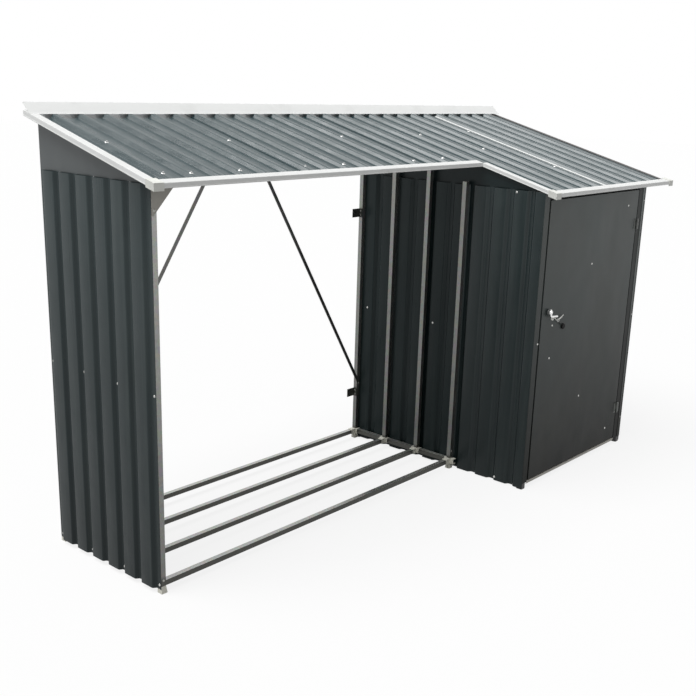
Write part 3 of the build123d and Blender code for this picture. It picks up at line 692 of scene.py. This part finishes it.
TRIM_BEND = 0.0016
TRIM_LEG = 0.028
TRIM_SKIN = 0.0009
EDGE_INSET = 0.0004
HEM_HEIGHT = 0.0035
HEM_BULGE = 0.0008
EAVES_LIP = 0.006
VERGE_LIP = 0.003
LEG_DROP = 0.002
LEFT_VERGE_FACE = 0.017
STEP_FACE = 0.015


def angle_line(face, lip):
    """Section of a trim: a leg inwards, a face down with a hem, and a lip behind it."""
    hem_top = HEM_HEIGHT - face
    return rounded_line([
        (TRIM_LEG, 0), (0, 0), (0, hem_top), (-HEM_BULGE, hem_top - HEM_BULGE),
        (-HEM_BULGE, -face), (lip, -face),
    ], TRIM_BEND)


def eaves_trim(node):
    """A level trim along a front edge, its leg leaning with the roof."""
    low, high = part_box(node)
    top = roof_surface(low[1])
    line = angle_line(top - low[2], EAVES_LIP)
    rows = []
    for x in (low[0], high[0]):
        row = []
        for point in line:
            lean = max(point.x, 0) * RISE if point.y > -LEG_DROP else 0
            row.append(Vector((x, low[1] + point.x, top + point.y + lean)))
        rows.append(row)
    mesh = thin_sheet(f"{node}_dressed", rows, FRONT + UP, TRIM_SKIN)
    finish_piece(f"{node}_dressed", mesh, "white_trim", "store", [node])


def verge_trim(node, face):
    """A trim along a sloping edge that faces left, with its leg on the ribs."""
    low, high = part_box(node)
    line = angle_line(face, VERGE_LIP)
    rows = []
    for y in (low[1], high[1] - EDGE_INSET):
        rows.append([Vector((low[0] + point.x, y, roof_surface(y) + point.y)) for point in line])
    mesh = thin_sheet(f"{node}_dressed", rows, LEFT + UP, TRIM_SKIN)
    finish_piece(f"{node}_dressed", mesh, "white_trim", "store", [node])


RIGHT_VERGE_WIDTH = 0.012
RIGHT_VERGE_FACE = 0.015
RIGHT_VERGE_TOP = ((-RIGHT_VERGE_WIDTH, 0.0004), (-0.004, 0.0042), (0, 0.0034))


def right_verge():
    """The plain edge strip on the right: a low bent strip on the flat of the last sheet."""
    low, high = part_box("right_verge_trim")
    edge = high[0]
    rows = []
    for y in (low[1], high[1] - EDGE_INSET):
        flat = roof_surface(y) - RIB_HEIGHT / math.cos(ROOF_SLOPE)
        bottom = roof_surface(y) - RIGHT_VERGE_FACE
        top = [(edge + across, flat + lift) for across, lift in RIGHT_VERGE_TOP]
        line = rounded_line(top + [(edge, bottom), (edge - VERGE_LIP, bottom)], TRIM_BEND)
        rows.append([Vector((point.x, y, point.y)) for point in line])
    mesh = thin_sheet("right_verge_trim_dressed", rows, RIGHT + UP, TRIM_SKIN)
    finish_piece("right_verge_trim_dressed", mesh, "dark_trim", "store", ["right_verge_trim"])


FLASHING_LEAN = 0.031
FLASHING_HEM = 0.006
FLASHING_TOE = 0.002


def flashing():
    """The rear flashing: a leg on the ribs and an upstand that leans back to a folded top."""
    low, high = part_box("back_flashing")
    back = ROOF_BACK - TRIM_SKIN - EDGE_INSET
    foot = back - FLASHING_LEAN
    front = low[1]
    top = high[2] - TRIM_SKIN
    line = rounded_line([
        (front, roof_surface(front) - FLASHING_TOE), (front, roof_surface(front)),
        (foot, roof_surface(foot)), (back, top), (back, top - FLASHING_HEM),
    ], TRIM_BEND)
    rows = [[Vector((x, point.x, point.y)) for point in line] for x in (low[0], high[0])]
    mesh = thin_sheet("back_flashing_dressed", rows, Vector((0, -0.4, 1)), TRIM_SKIN)
    finish_piece("back_flashing_dressed", mesh, "white_trim", "store", ["back_flashing"], FLASHING_COAT)


eaves_trim("bay_eaves_trim")
eaves_trim("shed_eaves_trim")
verge_trim("left_verge_trim", LEFT_VERGE_FACE)
verge_trim("step_trim", STEP_FACE)
right_verge()
flashing()


# Screws and rivets

# Two radii, a height and the sides of each part
SCREW = (
    (0.0075, 0.0066, 0.0012, 20),
    (0.0058, 0.0046, 0.0009, 20),
    (0.0042, 0.0040, 0.0034, 6),
)
DOME_RINGS = 4
DOME_SIDES = 16
DOME_TIP = 0.05


def add_stack(bm, place, normal, parts, size=1.0):
    """Closed cones on top of each other, each with two radii, a height and its sides."""
    turn = UP.rotation_difference(normal).to_matrix().to_4x4()
    foot = Matrix.Translation(place) @ turn
    start = 0
    for low_radius, high_radius, height, sides in parts:
        middle = foot @ Matrix.Translation((0, 0, start + height * size / 2))
        bmesh.ops.create_cone(
            bm, cap_ends=True, segments=sides, matrix=middle,
            radius1=low_radius * size, radius2=high_radius * size, depth=height * size,
        )
        start += height * size


def add_screw(bm, place, normal, size):
    """A self-drilling screw: a domed washer and a flanged hexagon head."""
    add_stack(bm, place, normal, SCREW, size)


def add_dome(bm, place, normal, head):
    """A rivet's or round screw's domed head, given by its radius and height."""
    radius, height = head
    turns = [math.pi / 2 * k / DOME_RINGS for k in range(DOME_RINGS + 1)]
    parts = []
    for start, end in zip(turns, turns[1:]):
        top_radius = max(radius * math.cos(end), radius * DOME_TIP)
        rise = height * (math.sin(end) - math.sin(start))
        parts.append((radius * math.cos(start), top_radius, rise, DOME_SIDES))
    add_stack(bm, place, normal, parts)


ROOF_SCREW_PIXELS = (
    (94, 142.5), (151, 174), (199, 172.5), (230.3, 140.4), (245.7, 170), (308, 166.4), (346, 164),
    (342.7, 136.5), (413, 160.6), (444, 158), (423.9, 134.8), (468.7, 131.4), (479.4, 149.1),
    (556.3, 166.3),
)
ROOF_SCREW_SIZE = 0.82


def roof_screws():
    """Screws on the crests of the ribs, where the photograph shows them."""
    bm = bmesh.new()
    crest = Vector((0, Y_BAY, under_roof(Y_BAY))) + ROOF_NORMAL * (CAD_SHEET + RIB_HEIGHT)
    for pixel in ROOF_SCREW_PIXELS:
        seen = seen_on_plane(pixel, crest, ROOF_NORMAL)
        rib = min(roof_ribs, key=lambda x: abs(x - seen.x))
        place = Vector((rib, seen.y, crest.z + (seen.y - crest.y) * RISE))
        add_screw(bm, place, ROOF_NORMAL, ROOF_SCREW_SIZE)
    mesh = mesh_from(bm, "roof_screws", SMALL_SMOOTH)
    finish_piece("roof_screws", mesh, "plated_metal")


LEFT_FIRST_GROOVE = 0.100
LEFT_GROOVES = [LEFT_FIRST_GROOVE + LEFT_PITCH * i for i in range(LEFT_RIB_COUNT - 1)]
LEFT_SCREW_ROWS = (0.645, 0.030)
LEFT_SCREW_INSET = 0.008
POST_SCREW_INSET = 0.012
SHED_SCREW_ROWS = (0.12, 0.60, 1.10)
SIDE_SCREW = (0.0045, 0.0022)
CORNER_SCREW = (0.004, 0.002)
DIVIDER_SCREW_PIXELS = ((367.3, 307.4), (432.6, 322.6), (516.9, 192.1), (494.1, 476.6))
CORNER_SCREW_PIXEL = (537.5, 344.3)


def wall_screws():
    """Small domed screws through the sheets into the posts."""
    bm = bmesh.new()
    last = Y_BACK - Y_BAY - POST_SCREW_INSET
    for height in LEFT_SCREW_ROWS:
        for along in (LEFT_SCREW_INSET, LEFT_GROOVES[1], LEFT_GROOVES[3], last):
            add_dome(bm, Vector((X_LEFT, Y_BAY + along, height)), LEFT, SIDE_SCREW)
    for pixel in DIVIDER_SCREW_PIXELS:
        place = seen_on_plane(pixel, Vector((X_DIVIDER, 0, 0)), LEFT)
        add_dome(bm, place, LEFT, SIDE_SCREW)
    place = seen_on_plane(CORNER_SCREW_PIXEL, Vector((0, Y_SHED, 0)), FRONT)
    add_dome(bm, place, FRONT, CORNER_SCREW)
    for height in SHED_SCREW_ROWS:
        place = Vector((X_RIGHT - POST_SCREW_INSET, Y_SHED, height))
        add_dome(bm, place, FRONT, CORNER_SCREW)
        for y in (Y_SHED + POST_SCREW_INSET, Y_BACK - POST_SCREW_INSET):
            add_dome(bm, Vector((X_RIGHT, y, height)), RIGHT, SIDE_SCREW)
        for x in (X_DIVIDER + POST_SCREW_INSET, X_RIGHT - POST_SCREW_INSET):
            add_dome(bm, Vector((x, Y_BACK, height)), BACK, SIDE_SCREW)
    mesh = mesh_from(bm, "wall_screws", SMALL_SMOOTH)
    finish_piece("wall_screws", mesh, "plated_metal", finish=SOFT_BRIGHT)


DOOR_RIVET_PIXELS = (
    (628.6, 205.6), (591.9, 263.7), (552.1, 325.5), (549.0, 358.2), (578.4, 395.6), (604.6, 427.9),
)
DOOR_RIVET = (0.0042, 0.0018)


def on_door(pixel, lift):
    """The place behind a pixel, at a height above the door's outer face."""
    return seen_on_plane(pixel, Vector((0, Y_SHED - lift, 0)), FRONT)


def door_rivets():
    """Rivets that hold the two diagonals behind the door's skin."""
    bm = bmesh.new()
    for pixel in DOOR_RIVET_PIXELS:
        add_dome(bm, on_door(pixel, 0), FRONT, DOOR_RIVET)
    mesh = mesh_from(bm, "door_rivets", SMALL_SMOOTH)
    finish_piece("door_rivets", mesh, "plated_metal", "door", finish=SOFT_BRIGHT)


roof_screws()
wall_screws()
door_rivets()


# Small pieces

# A rounded tip: its middle ring's reach and its rings' radii
TIP_REACH = 0.7
TIP_SHARES = (0.3, 0.72, 1.0)


def add_rod(bm, points, radii, sides):
    """A round rod through points, with a radius at each, closed at both ends."""
    points = [Vector(point) for point in points]
    rings = []
    side = None
    for i, point in enumerate(points):
        along = (points[min(i + 1, len(points) - 1)] - points[max(i - 1, 0)]).normalized()
        if side is None:
            side = along.orthogonal().normalized()
        side = (side - along * side.dot(along)).normalized()
        other = along.cross(side)
        turns = [2 * math.pi * k / sides for k in range(sides)]
        spokes = [side * math.cos(turn) + other * math.sin(turn) for turn in turns]
        rings.append([bm.verts.new(point + spoke * radii[i]) for spoke in spokes])
    for ring, after in zip(rings, rings[1:]):
        for k in range(sides):
            bm.faces.new((ring[k], ring[(k + 1) % sides], after[(k + 1) % sides], after[k]))
    bm.faces.new(rings[0])
    bm.faces.new(rings[-1])


def rounded_rod(bm, points, radius, sides=14):
    """A rod of one thickness whose ends are rounded off."""
    points = [Vector(point) for point in points]
    first = (points[1] - points[0]).normalized() * radius
    last = (points[-1] - points[-2]).normalized() * radius
    start = [points[0] - first, points[0] - first * TIP_REACH, points[0]]
    end = [points[-1], points[-1] + last * TIP_REACH, points[-1] + last]
    tip = [radius * share for share in TIP_SHARES]
    radii = tip + [radius] * (len(points) - 2) + tip[::-1]
    add_rod(bm, start + points[1:-1] + end, radii, sides)


def smooth_path(points, steps=6):
    """A smooth curve through a few points."""
    points = [Vector(point) for point in points]
    ends = [points[0] * 2 - points[1]] + points + [points[-1] * 2 - points[-2]]
    path = []
    for a, b, c, d in zip(ends, ends[1:], ends[2:], ends[3:]):
        for i in range(steps):
            t = i / steps
            squared = (a * 2 - b * 5 + c * 4 - d) * t ** 2
            cubed = (b * 3 - a - c * 3 + d) * t ** 3
            path.append((b * 2 + (c - a) * t + squared + cubed) * 0.5)
    path.append(points[-1])
    return path


def add_box(bm, low, high):
    """A plain block between two corners."""
    size = Vector(high) - Vector(low)
    middle = (Vector(low) + Vector(high)) / 2
    matrix = Matrix.Translation(middle) @ Matrix.Diagonal((*size, 1))
    bmesh.ops.create_cube(bm, size=1, matrix=matrix)


handle_joint = [joint for joint in frame["joints"] if joint["name"] == "handle_turn"][0]
HANDLE_X = handle_joint["pos_m"][0]
HANDLE_Z = handle_joint["pos_m"][2]
HANDLE_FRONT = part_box("door_handle")[0][1]
HANDLE_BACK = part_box("door_handle")[1][1]
LEVER_RADIUS = 0.0046
SPINDLE_RADIUS = 0.005
SPINDLE_SIDES = 20
SPINDLE_OVERLAP = 0.002
HUB_LIFT = 0.0053
# Two radii, a share of the hub's length and the sides of each part
HUB = ((0.009, 0.0086, 0.6, 28), (0.0086, 0.0062, 0.4, 28))
# Across and up from the spindle
LEVER_PATH = (
    (-0.001, 0.008), (0, -0.004), (0.004, -0.0155), (0.015, -0.0185), (0.033, -0.020), (0.049, -0.022),
)


def door_lever():
    """The lever: a spindle and hub, a neck that drops, and a lever that droops a little."""
    bm = bmesh.new()
    spindle = (SPINDLE_RADIUS, SPINDLE_RADIUS, HANDLE_BACK - Y_SHED + SPINDLE_OVERLAP, SPINDLE_SIDES)
    add_stack(bm, Vector((HANDLE_X, HANDLE_BACK, HANDLE_Z)), FRONT, [spindle])
    hub_foot = Y_SHED - HUB_LIFT
    length = hub_foot - HANDLE_FRONT
    hub = [(low, high, length * share, sides) for low, high, share, sides in HUB]
    add_stack(bm, Vector((HANDLE_X, hub_foot, HANDLE_Z)), FRONT, hub)
    centre = HANDLE_FRONT + LEVER_RADIUS
    path = smooth_path([(HANDLE_X + across, centre, HANDLE_Z + up) for across, up in LEVER_PATH])
    rounded_rod(bm, path, LEVER_RADIUS)
    mesh = mesh_from(bm, "door_handle_dressed", SMALL_SMOOTH)
    finish_piece("door_handle_dressed", mesh, "plated_metal", "handle", ["door_handle"])


LOCK_PIXEL = (552.5, 317.8)
KEY_RING_PIXEL = (558.0, 320.0)
KEY_TIP_PIXEL = (563.3, 314.8)
FOB_PIXEL = (562.5, 326.0)
LOCK = ((0.0105, 0.0098, 0.0022, 28), (0.0070, 0.0066, 0.0022, 24))
LOCK_DEPTH = 0.0044
KEY_LIFT = 0.006
SHANK_START = Vector((0.004, -0.006, -0.001))
SHANK_END = Vector((-0.016, 0, 0.003))
SHANK_RADIUS = 0.0016
KEY_MIDDLE = 0.6
KEY_BLADE = 0.0019
KEY_SIDES = 10
TOOTH_SHARES = (0.45, 0.6, 0.75)
TOOTH_LENGTH = 0.0045
TOOTH_RADIUS = 0.0013
WIRE_SIDES = 8
RING_RADIUS = 0.0075
RING_LIFT = 0.001
RING_STEPS = 20
RING_WIRE = 0.0008
RING_END = Vector((0.0004, 0, 0.0004))


def lock_and_keys():
    """A cylinder lock below the lever, a shank from it to the key ring, and a toothed key."""
    lock = on_door(LOCK_PIXEL, 0)
    bm = bmesh.new()
    add_stack(bm, lock, FRONT, LOCK)
    ring_place = on_door(KEY_RING_PIXEL, KEY_LIFT)
    key_start = lock + FRONT * LOCK_DEPTH
    shank = smooth_path([key_start, key_start + SHANK_START, ring_place + SHANK_END, ring_place])
    rounded_rod(bm, shank, SHANK_RADIUS, KEY_SIDES)
    tip = on_door(KEY_TIP_PIXEL, KEY_LIFT)
    rounded_rod(bm, [ring_place, ring_place.lerp(tip, KEY_MIDDLE), tip], KEY_BLADE, KEY_SIDES)
    across = (tip - ring_place).normalized().cross(FRONT)
    for share in TOOTH_SHARES:
        tooth = ring_place.lerp(tip, share)
        rounded_rod(bm, [tooth, tooth + across * TOOTH_LENGTH], TOOTH_RADIUS, WIRE_SIDES)
    loop = [
        ring_place + (RIGHT * math.cos(turn) + UP * math.sin(turn)) * RING_RADIUS + FRONT * RING_LIFT
        for turn in (2 * math.pi * k / RING_STEPS for k in range(RING_STEPS))
    ]
    rounded_rod(bm, loop + [loop[0] + RING_END], RING_WIRE, WIRE_SIDES)
    mesh = mesh_from(bm, "lock_and_keys", SMALL_SMOOTH)
    finish_piece("lock_and_keys", mesh, "plated_metal", "door", finish=SOFT_BRIGHT)


FOB_RADIUS = 0.0115
FOB_LIFT = 0.0005
FOB = (
    (FOB_RADIUS * 0.92, FOB_RADIUS, 0.0012, 32),
    (FOB_RADIUS, FOB_RADIUS, 0.0030, 32),
    (FOB_RADIUS, FOB_RADIUS * 0.86, 0.0014, 32),
)
STRAP_RADIUS = 0.0014
STRAP_LIFT = 0.003
STRAP_START = Vector((0, 0.002, -0.006))
STRAP_ARCH = 0.001


def key_fob():
    """The round fob below the key ring, with its strap."""
    fob = on_door(FOB_PIXEL, FOB_LIFT)
    bm = bmesh.new()
    add_stack(bm, fob, FRONT, FOB)
    strap_top = on_door(KEY_RING_PIXEL, KEY_LIFT) + STRAP_START
    strap_end = fob + FRONT * STRAP_LIFT
    strap_middle = strap_top.lerp(strap_end, 0.5) + FRONT * STRAP_ARCH
    rounded_rod(bm, [strap_top, strap_middle, strap_end], STRAP_RADIUS, WIRE_SIDES)
    mesh = mesh_from(bm, "key_fob", SMALL_SMOOTH)
    finish_piece("key_fob", mesh, "black_plastic", "door", finish=FOB_RUBBER)


GUSSET_SCREW_PIXEL = (154.1, 210.6)
POST_BOLT_PIXEL = (165.4, 580.0)
GUSSET_SCREW_SIZE = 0.6
POST_BOLT = (0.0042, 0.002)
DIVIDER_BOLT_HEIGHT = 0.075
BRACKET_SHEET = 0.002
BRACKET_BOLT = (0.0036, 0.0018)
BRACKET_BOLT_INSETS = (0.010, 0.026)
BRACKET_BOLT_DEPTH = 0.010
BRACE_BOLT = (0.0042, 0.0022)
LEFT_BRACE_BOLT_LIFT = 0.007
RIGHT_BRACE_BOLT_LIFT = 0.048


def frame_bolts():
    """A screw on the gusset, and domed bolts on the posts, the wall brackets and the braces."""
    bm = bmesh.new()
    gusset_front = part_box("corner_gusset")[0][1]
    place = seen_on_plane(GUSSET_SCREW_PIXEL, Vector((0, gusset_front, 0)), FRONT)
    add_screw(bm, place, FRONT, GUSSET_SCREW_SIZE)
    bolt = seen_on_plane(POST_BOLT_PIXEL, Vector((0, Y_BAY, 0)), FRONT)
    add_dome(bm, Vector((LEFT_POST_X, Y_BAY, bolt.z)), FRONT, POST_BOLT)
    add_dome(bm, Vector((DIVIDER_POST_X, Y_BAY, DIVIDER_BOLT_HEIGHT)), FRONT, POST_BOLT)
    low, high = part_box("wall_brackets")
    heights = [low[2] + inset for inset in BRACKET_BOLT_INSETS]
    heights += [high[2] - inset for inset in BRACKET_BOLT_INSETS]
    left_face = LEFT_POST_X + TUBE / 2 + BRACKET_SHEET
    divider_face = DIVIDER_POST_X - TUBE / 2 - BRACKET_SHEET
    for z in heights:
        for x, outward in ((left_face, RIGHT), (divider_face, LEFT)):
            add_dome(bm, Vector((x, Y_BACK - BRACKET_BOLT_DEPTH, z)), outward, BRACKET_BOLT)
    brace_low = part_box("rear_braces")[0]
    for x, lift in ((LEFT_POST_X, LEFT_BRACE_BOLT_LIFT), (DIVIDER_POST_X, RIGHT_BRACE_BOLT_LIFT)):
        add_dome(bm, Vector((x, brace_low[1], brace_low[2] + lift)), FRONT, BRACE_BOLT)
    mesh = mesh_from(bm, "frame_bolts", SMALL_SMOOTH)
    finish_piece("frame_bolts", mesh, "plated_metal", finish=DULL_BOLT)


BRACKET_SCREW = (0.0052, 0.0026)
MM = 0.001


def bracket_screws():
    """A dark pan head in the hole of each wall bracket."""
    bm = bmesh.new()
    mount = [m for m in frame["record"]["mounts"] if m["name"] == "wall_bracket_holes"][0]
    middle = mount["pos_m"]
    half_width = mount["dims"]["spacing_x_mm"] * MM / 2
    half_height = mount["dims"]["spacing_y_mm"] * MM / 2
    for x in (middle[0] - half_width, middle[0] + half_width):
        for z in (middle[2] - half_height, middle[2] + half_height):
            add_dome(bm, Vector((x, Y_BACK - BRACKET_SHEET, z)), FRONT, BRACKET_SCREW)
    mesh = mesh_from(bm, "bracket_screws", SMALL_SMOOTH)
    finish_piece("bracket_screws", mesh, "dark_fittings")


GABLE_TONGUE = 0.030
TONGUE_GAP = 0.0001
TONGUE_SKIN = 0.0006
TONGUE_OVERLAP = 0.0002


def gable_tongues():
    """The gable sheet's lower edge, which closes the ribs of the left wall at their top."""
    bm = bmesh.new()
    outer = X_LEFT + TONGUE_GAP
    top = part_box("left_wall_panel")[1][2]
    for i in range(LEFT_RIB_COUNT):
        middle = Y_BAY + LEFT_FIRST_RIB + LEFT_PITCH * i
        low = (outer, middle - LEFT_RIB_BASE / 2, top - GABLE_TONGUE)
        high = (outer + TONGUE_SKIN, middle + LEFT_RIB_BASE / 2, top + TONGUE_OVERLAP)
        add_box(bm, low, high)
    mesh = mesh_from(bm, "gable_tongues")
    finish_piece("gable_tongues", mesh, "wall_sheet", finish=LEFT_WALL)


THRESHOLD_TOP = 0.0292
THRESHOLD_FACE = 0.0115
THRESHOLD_OVERLAP = 0.018
THRESHOLD_INSET = 0.0006
THRESHOLD_LIP = 0.004
THRESHOLD_BEND = 0.0012
THRESHOLD_SKIN = 0.0008


def door_threshold():
    """A galvanised angle on the sill, which shows as a pale strip under the door."""
    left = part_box("left_door_jamb")[1][0] - THRESHOLD_OVERLAP
    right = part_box("right_door_jamb")[0][0] + THRESHOLD_OVERLAP
    sill_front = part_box("door_sill")[0][1]
    front = Y_SHED + THRESHOLD_INSET
    bottom = THRESHOLD_TOP - THRESHOLD_FACE
    line = rounded_line([
        (sill_front, THRESHOLD_TOP), (front, THRESHOLD_TOP), (front, bottom),
        (front + THRESHOLD_LIP, bottom),
    ], THRESHOLD_BEND)
    rows = [[Vector((x, point.x, point.y)) for point in line] for x in (left, right)]
    mesh = thin_sheet("door_threshold", rows, FRONT + UP, THRESHOLD_SKIN)
    finish_piece("door_threshold", mesh, "galvanised", finish=GUSSET_ZINC)


JAMB_STRIP_OUTER = 0.013
JAMB_STRIP_WIDTH = 0.014
JAMB_STRIP_LIFT = 0.0014
JAMB_STRIP_SINK = 0.0002
JAMB_STRIP_FOOT = 0.004
JAMB_STRIP_HEAD = 0.012
JAMB_STRIP_EDGE = 0.0007


def jamb_strip():
    """A pale strip along the outer part of the door frame's hinge side: a painted highlight on the frame's fold.
    """
    jamb_low, jamb_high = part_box("right_door_jamb")
    right = X_RIGHT - JAMB_STRIP_OUTER
    low = (right - JAMB_STRIP_WIDTH, Y_SHED - JAMB_STRIP_LIFT, jamb_low[2] + JAMB_STRIP_FOOT)
    high = (right, Y_SHED + JAMB_STRIP_SINK, jamb_high[2] - JAMB_STRIP_HEAD)
    bm = bmesh.new()
    add_box(bm, low, high)
    mesh = mesh_from(bm, "jamb_strip")
    round_edges(finish_piece("jamb_strip", mesh, "door_sheet", finish=FOLD_HIGHLIGHT_COAT), JAMB_STRIP_EDGE)


LINE_WIDTH = 0.006
LINE_SHIFT = 0.001
LAP_LINE_HEIGHTS = (0.0012, 0.0040)
LAP_LINE_BACK = 0.040
VERGE_LINE_HEIGHTS = (0.0018, 0.0046)
VERGE_LINE_LENGTH = 0.30


def add_roof_line(bm, x, heights, back):
    """A narrow strip that rises to the right, from the shed's front trim backwards."""
    rings = []
    for y in (SHED_EAVES + TRIM_LEG, back):
        left_foot = Vector((x, y, under_roof(y))) + ROOF_NORMAL * CAD_SHEET
        right_foot = left_foot + RIGHT * LINE_WIDTH
        left_top = left_foot + ROOF_NORMAL * heights[0]
        right_top = right_foot + ROOF_NORMAL * heights[1]
        rings.append([bm.verts.new(place) for place in (left_top, right_top, right_foot, left_foot)])
    near, far = rings
    for k in range(4):
        bm.faces.new((near[k], near[(k + 1) % 4], far[(k + 1) % 4], far[k]))
    bm.faces.new(near)
    bm.faces.new(far)


def lap_edges():
    """A white strip along the edge of the last lap, and a painted highlight: a white strip near the lower end of
    the right edge strip.
    """
    bm = bmesh.new()
    lap = roof_ribs[ROOF_LAP_RIBS[-1] - 1] - RIB_BASE / 2 - LAP_FLAT - LINE_SHIFT
    add_roof_line(bm, lap, LAP_LINE_HEIGHTS, ROOF_BACK - LAP_LINE_BACK)
    # Painted highlight beside the right edge strip.
    strip = ROOF_RIGHT - RIGHT_VERGE_WIDTH + LINE_SHIFT
    add_roof_line(bm, strip, VERGE_LINE_HEIGHTS, SHED_EAVES + VERGE_LINE_LENGTH)
    mesh = mesh_from(bm, "lap_edges")
    finish_piece("lap_edges", mesh, "roof_sheet", finish=materials["white_trim"])


door_lever()
lock_and_keys()
key_fob()
frame_bolts()
bracket_screws()
gable_tongues()
door_threshold()
jamb_strip()
lap_edges()


# Floor, backdrop and light

WORLD_LIGHT = 0.29
SUN_LIGHT = 2.9
SUN_FROM = Vector((-0.36, 0.12, 0.92))
SUN_SPREAD = math.radians(45)


def seen_directly(nodes, links):
    """1 for rays that come from the camera or leave a glossy or clear surface."""
    path = nodes.new("ShaderNodeLightPath")
    first = nodes.new("ShaderNodeMath")
    first.operation = "MAXIMUM"
    links.new(path.outputs["Is Camera Ray"], first.inputs[0])
    links.new(path.outputs["Is Glossy Ray"], first.inputs[1])
    second = nodes.new("ShaderNodeMath")
    second.operation = "MAXIMUM"
    links.new(first.outputs["Value"], second.inputs[0])
    links.new(path.outputs["Is Transmission Ray"], second.inputs[1])
    return second.outputs["Value"]


FLOOR_WHITE_SHARE = 0.85
FLOOR_SEEN = 0.82
FLOOR_BOUNCE = 0.32
FLOOR_ROUGHNESS = 0.9
FLOOR_SIZE = 60


def floor_material():
    """A pale floor that looks white where it is lit, and keeps the object's shadow."""
    material = bpy.data.materials.new("floor")
    material.use_nodes = True
    nodes, links = material.node_tree.nodes, material.node_tree.links
    diffuse = nodes["Principled BSDF"]
    diffuse.inputs["Roughness"].default_value = FLOOR_ROUGHNESS
    seen = seen_directly(nodes, links)
    tone = nodes.new("ShaderNodeMapRange")
    links.new(seen, tone.inputs["Value"])
    tone.inputs["To Min"].default_value = FLOOR_BOUNCE
    tone.inputs["To Max"].default_value = FLOOR_SEEN
    links.new(tone.outputs["Result"], diffuse.inputs["Base Color"])
    glow = nodes.new("ShaderNodeEmission")
    share = nodes.new("ShaderNodeMath")
    share.operation = "MULTIPLY"
    links.new(seen, share.inputs[0])
    share.inputs[1].default_value = FLOOR_WHITE_SHARE
    mix = nodes.new("ShaderNodeMixShader")
    links.new(share.outputs["Value"], mix.inputs[0])
    links.new(diffuse.outputs["BSDF"], mix.inputs[1])
    links.new(glow.outputs["Emission"], mix.inputs[2])
    links.new(mix.outputs["Shader"], nodes["Material Output"].inputs["Surface"])
    return material


def make_stage():
    """The floor, white surroundings and one soft light from above."""
    bpy.ops.mesh.primitive_plane_add(size=FLOOR_SIZE, location=(0, 0, 0))
    floor = bpy.context.object
    floor.name = "floor"
    floor.data.materials.append(floor_material())
    world = bpy.data.worlds.new("world")
    bpy.context.scene.world = world
    world.use_nodes = True
    nodes, links = world.node_tree.nodes, world.node_tree.links
    background = nodes["Background"]
    background.inputs["Color"].default_value = (1, 1, 1, 1)
    strength = nodes.new("ShaderNodeMapRange")
    links.new(seen_directly(nodes, links), strength.inputs["Value"])
    strength.inputs["To Min"].default_value = WORLD_LIGHT
    strength.inputs["To Max"].default_value = 1.0
    links.new(strength.outputs["Result"], background.inputs["Strength"])
    sun = bpy.data.lights.new("sky_light", "SUN")
    sun.energy = SUN_LIGHT
    sun.angle = SUN_SPREAD
    lamp = bpy.data.objects.new("sky_light", sun)
    lamp.rotation_euler = SUN_FROM.to_track_quat("Z", "Y").to_euler()
    bpy.context.scene.collection.objects.link(lamp)


make_stage()

view = bpy.context.scene.view_settings
view.view_transform = "Standard"
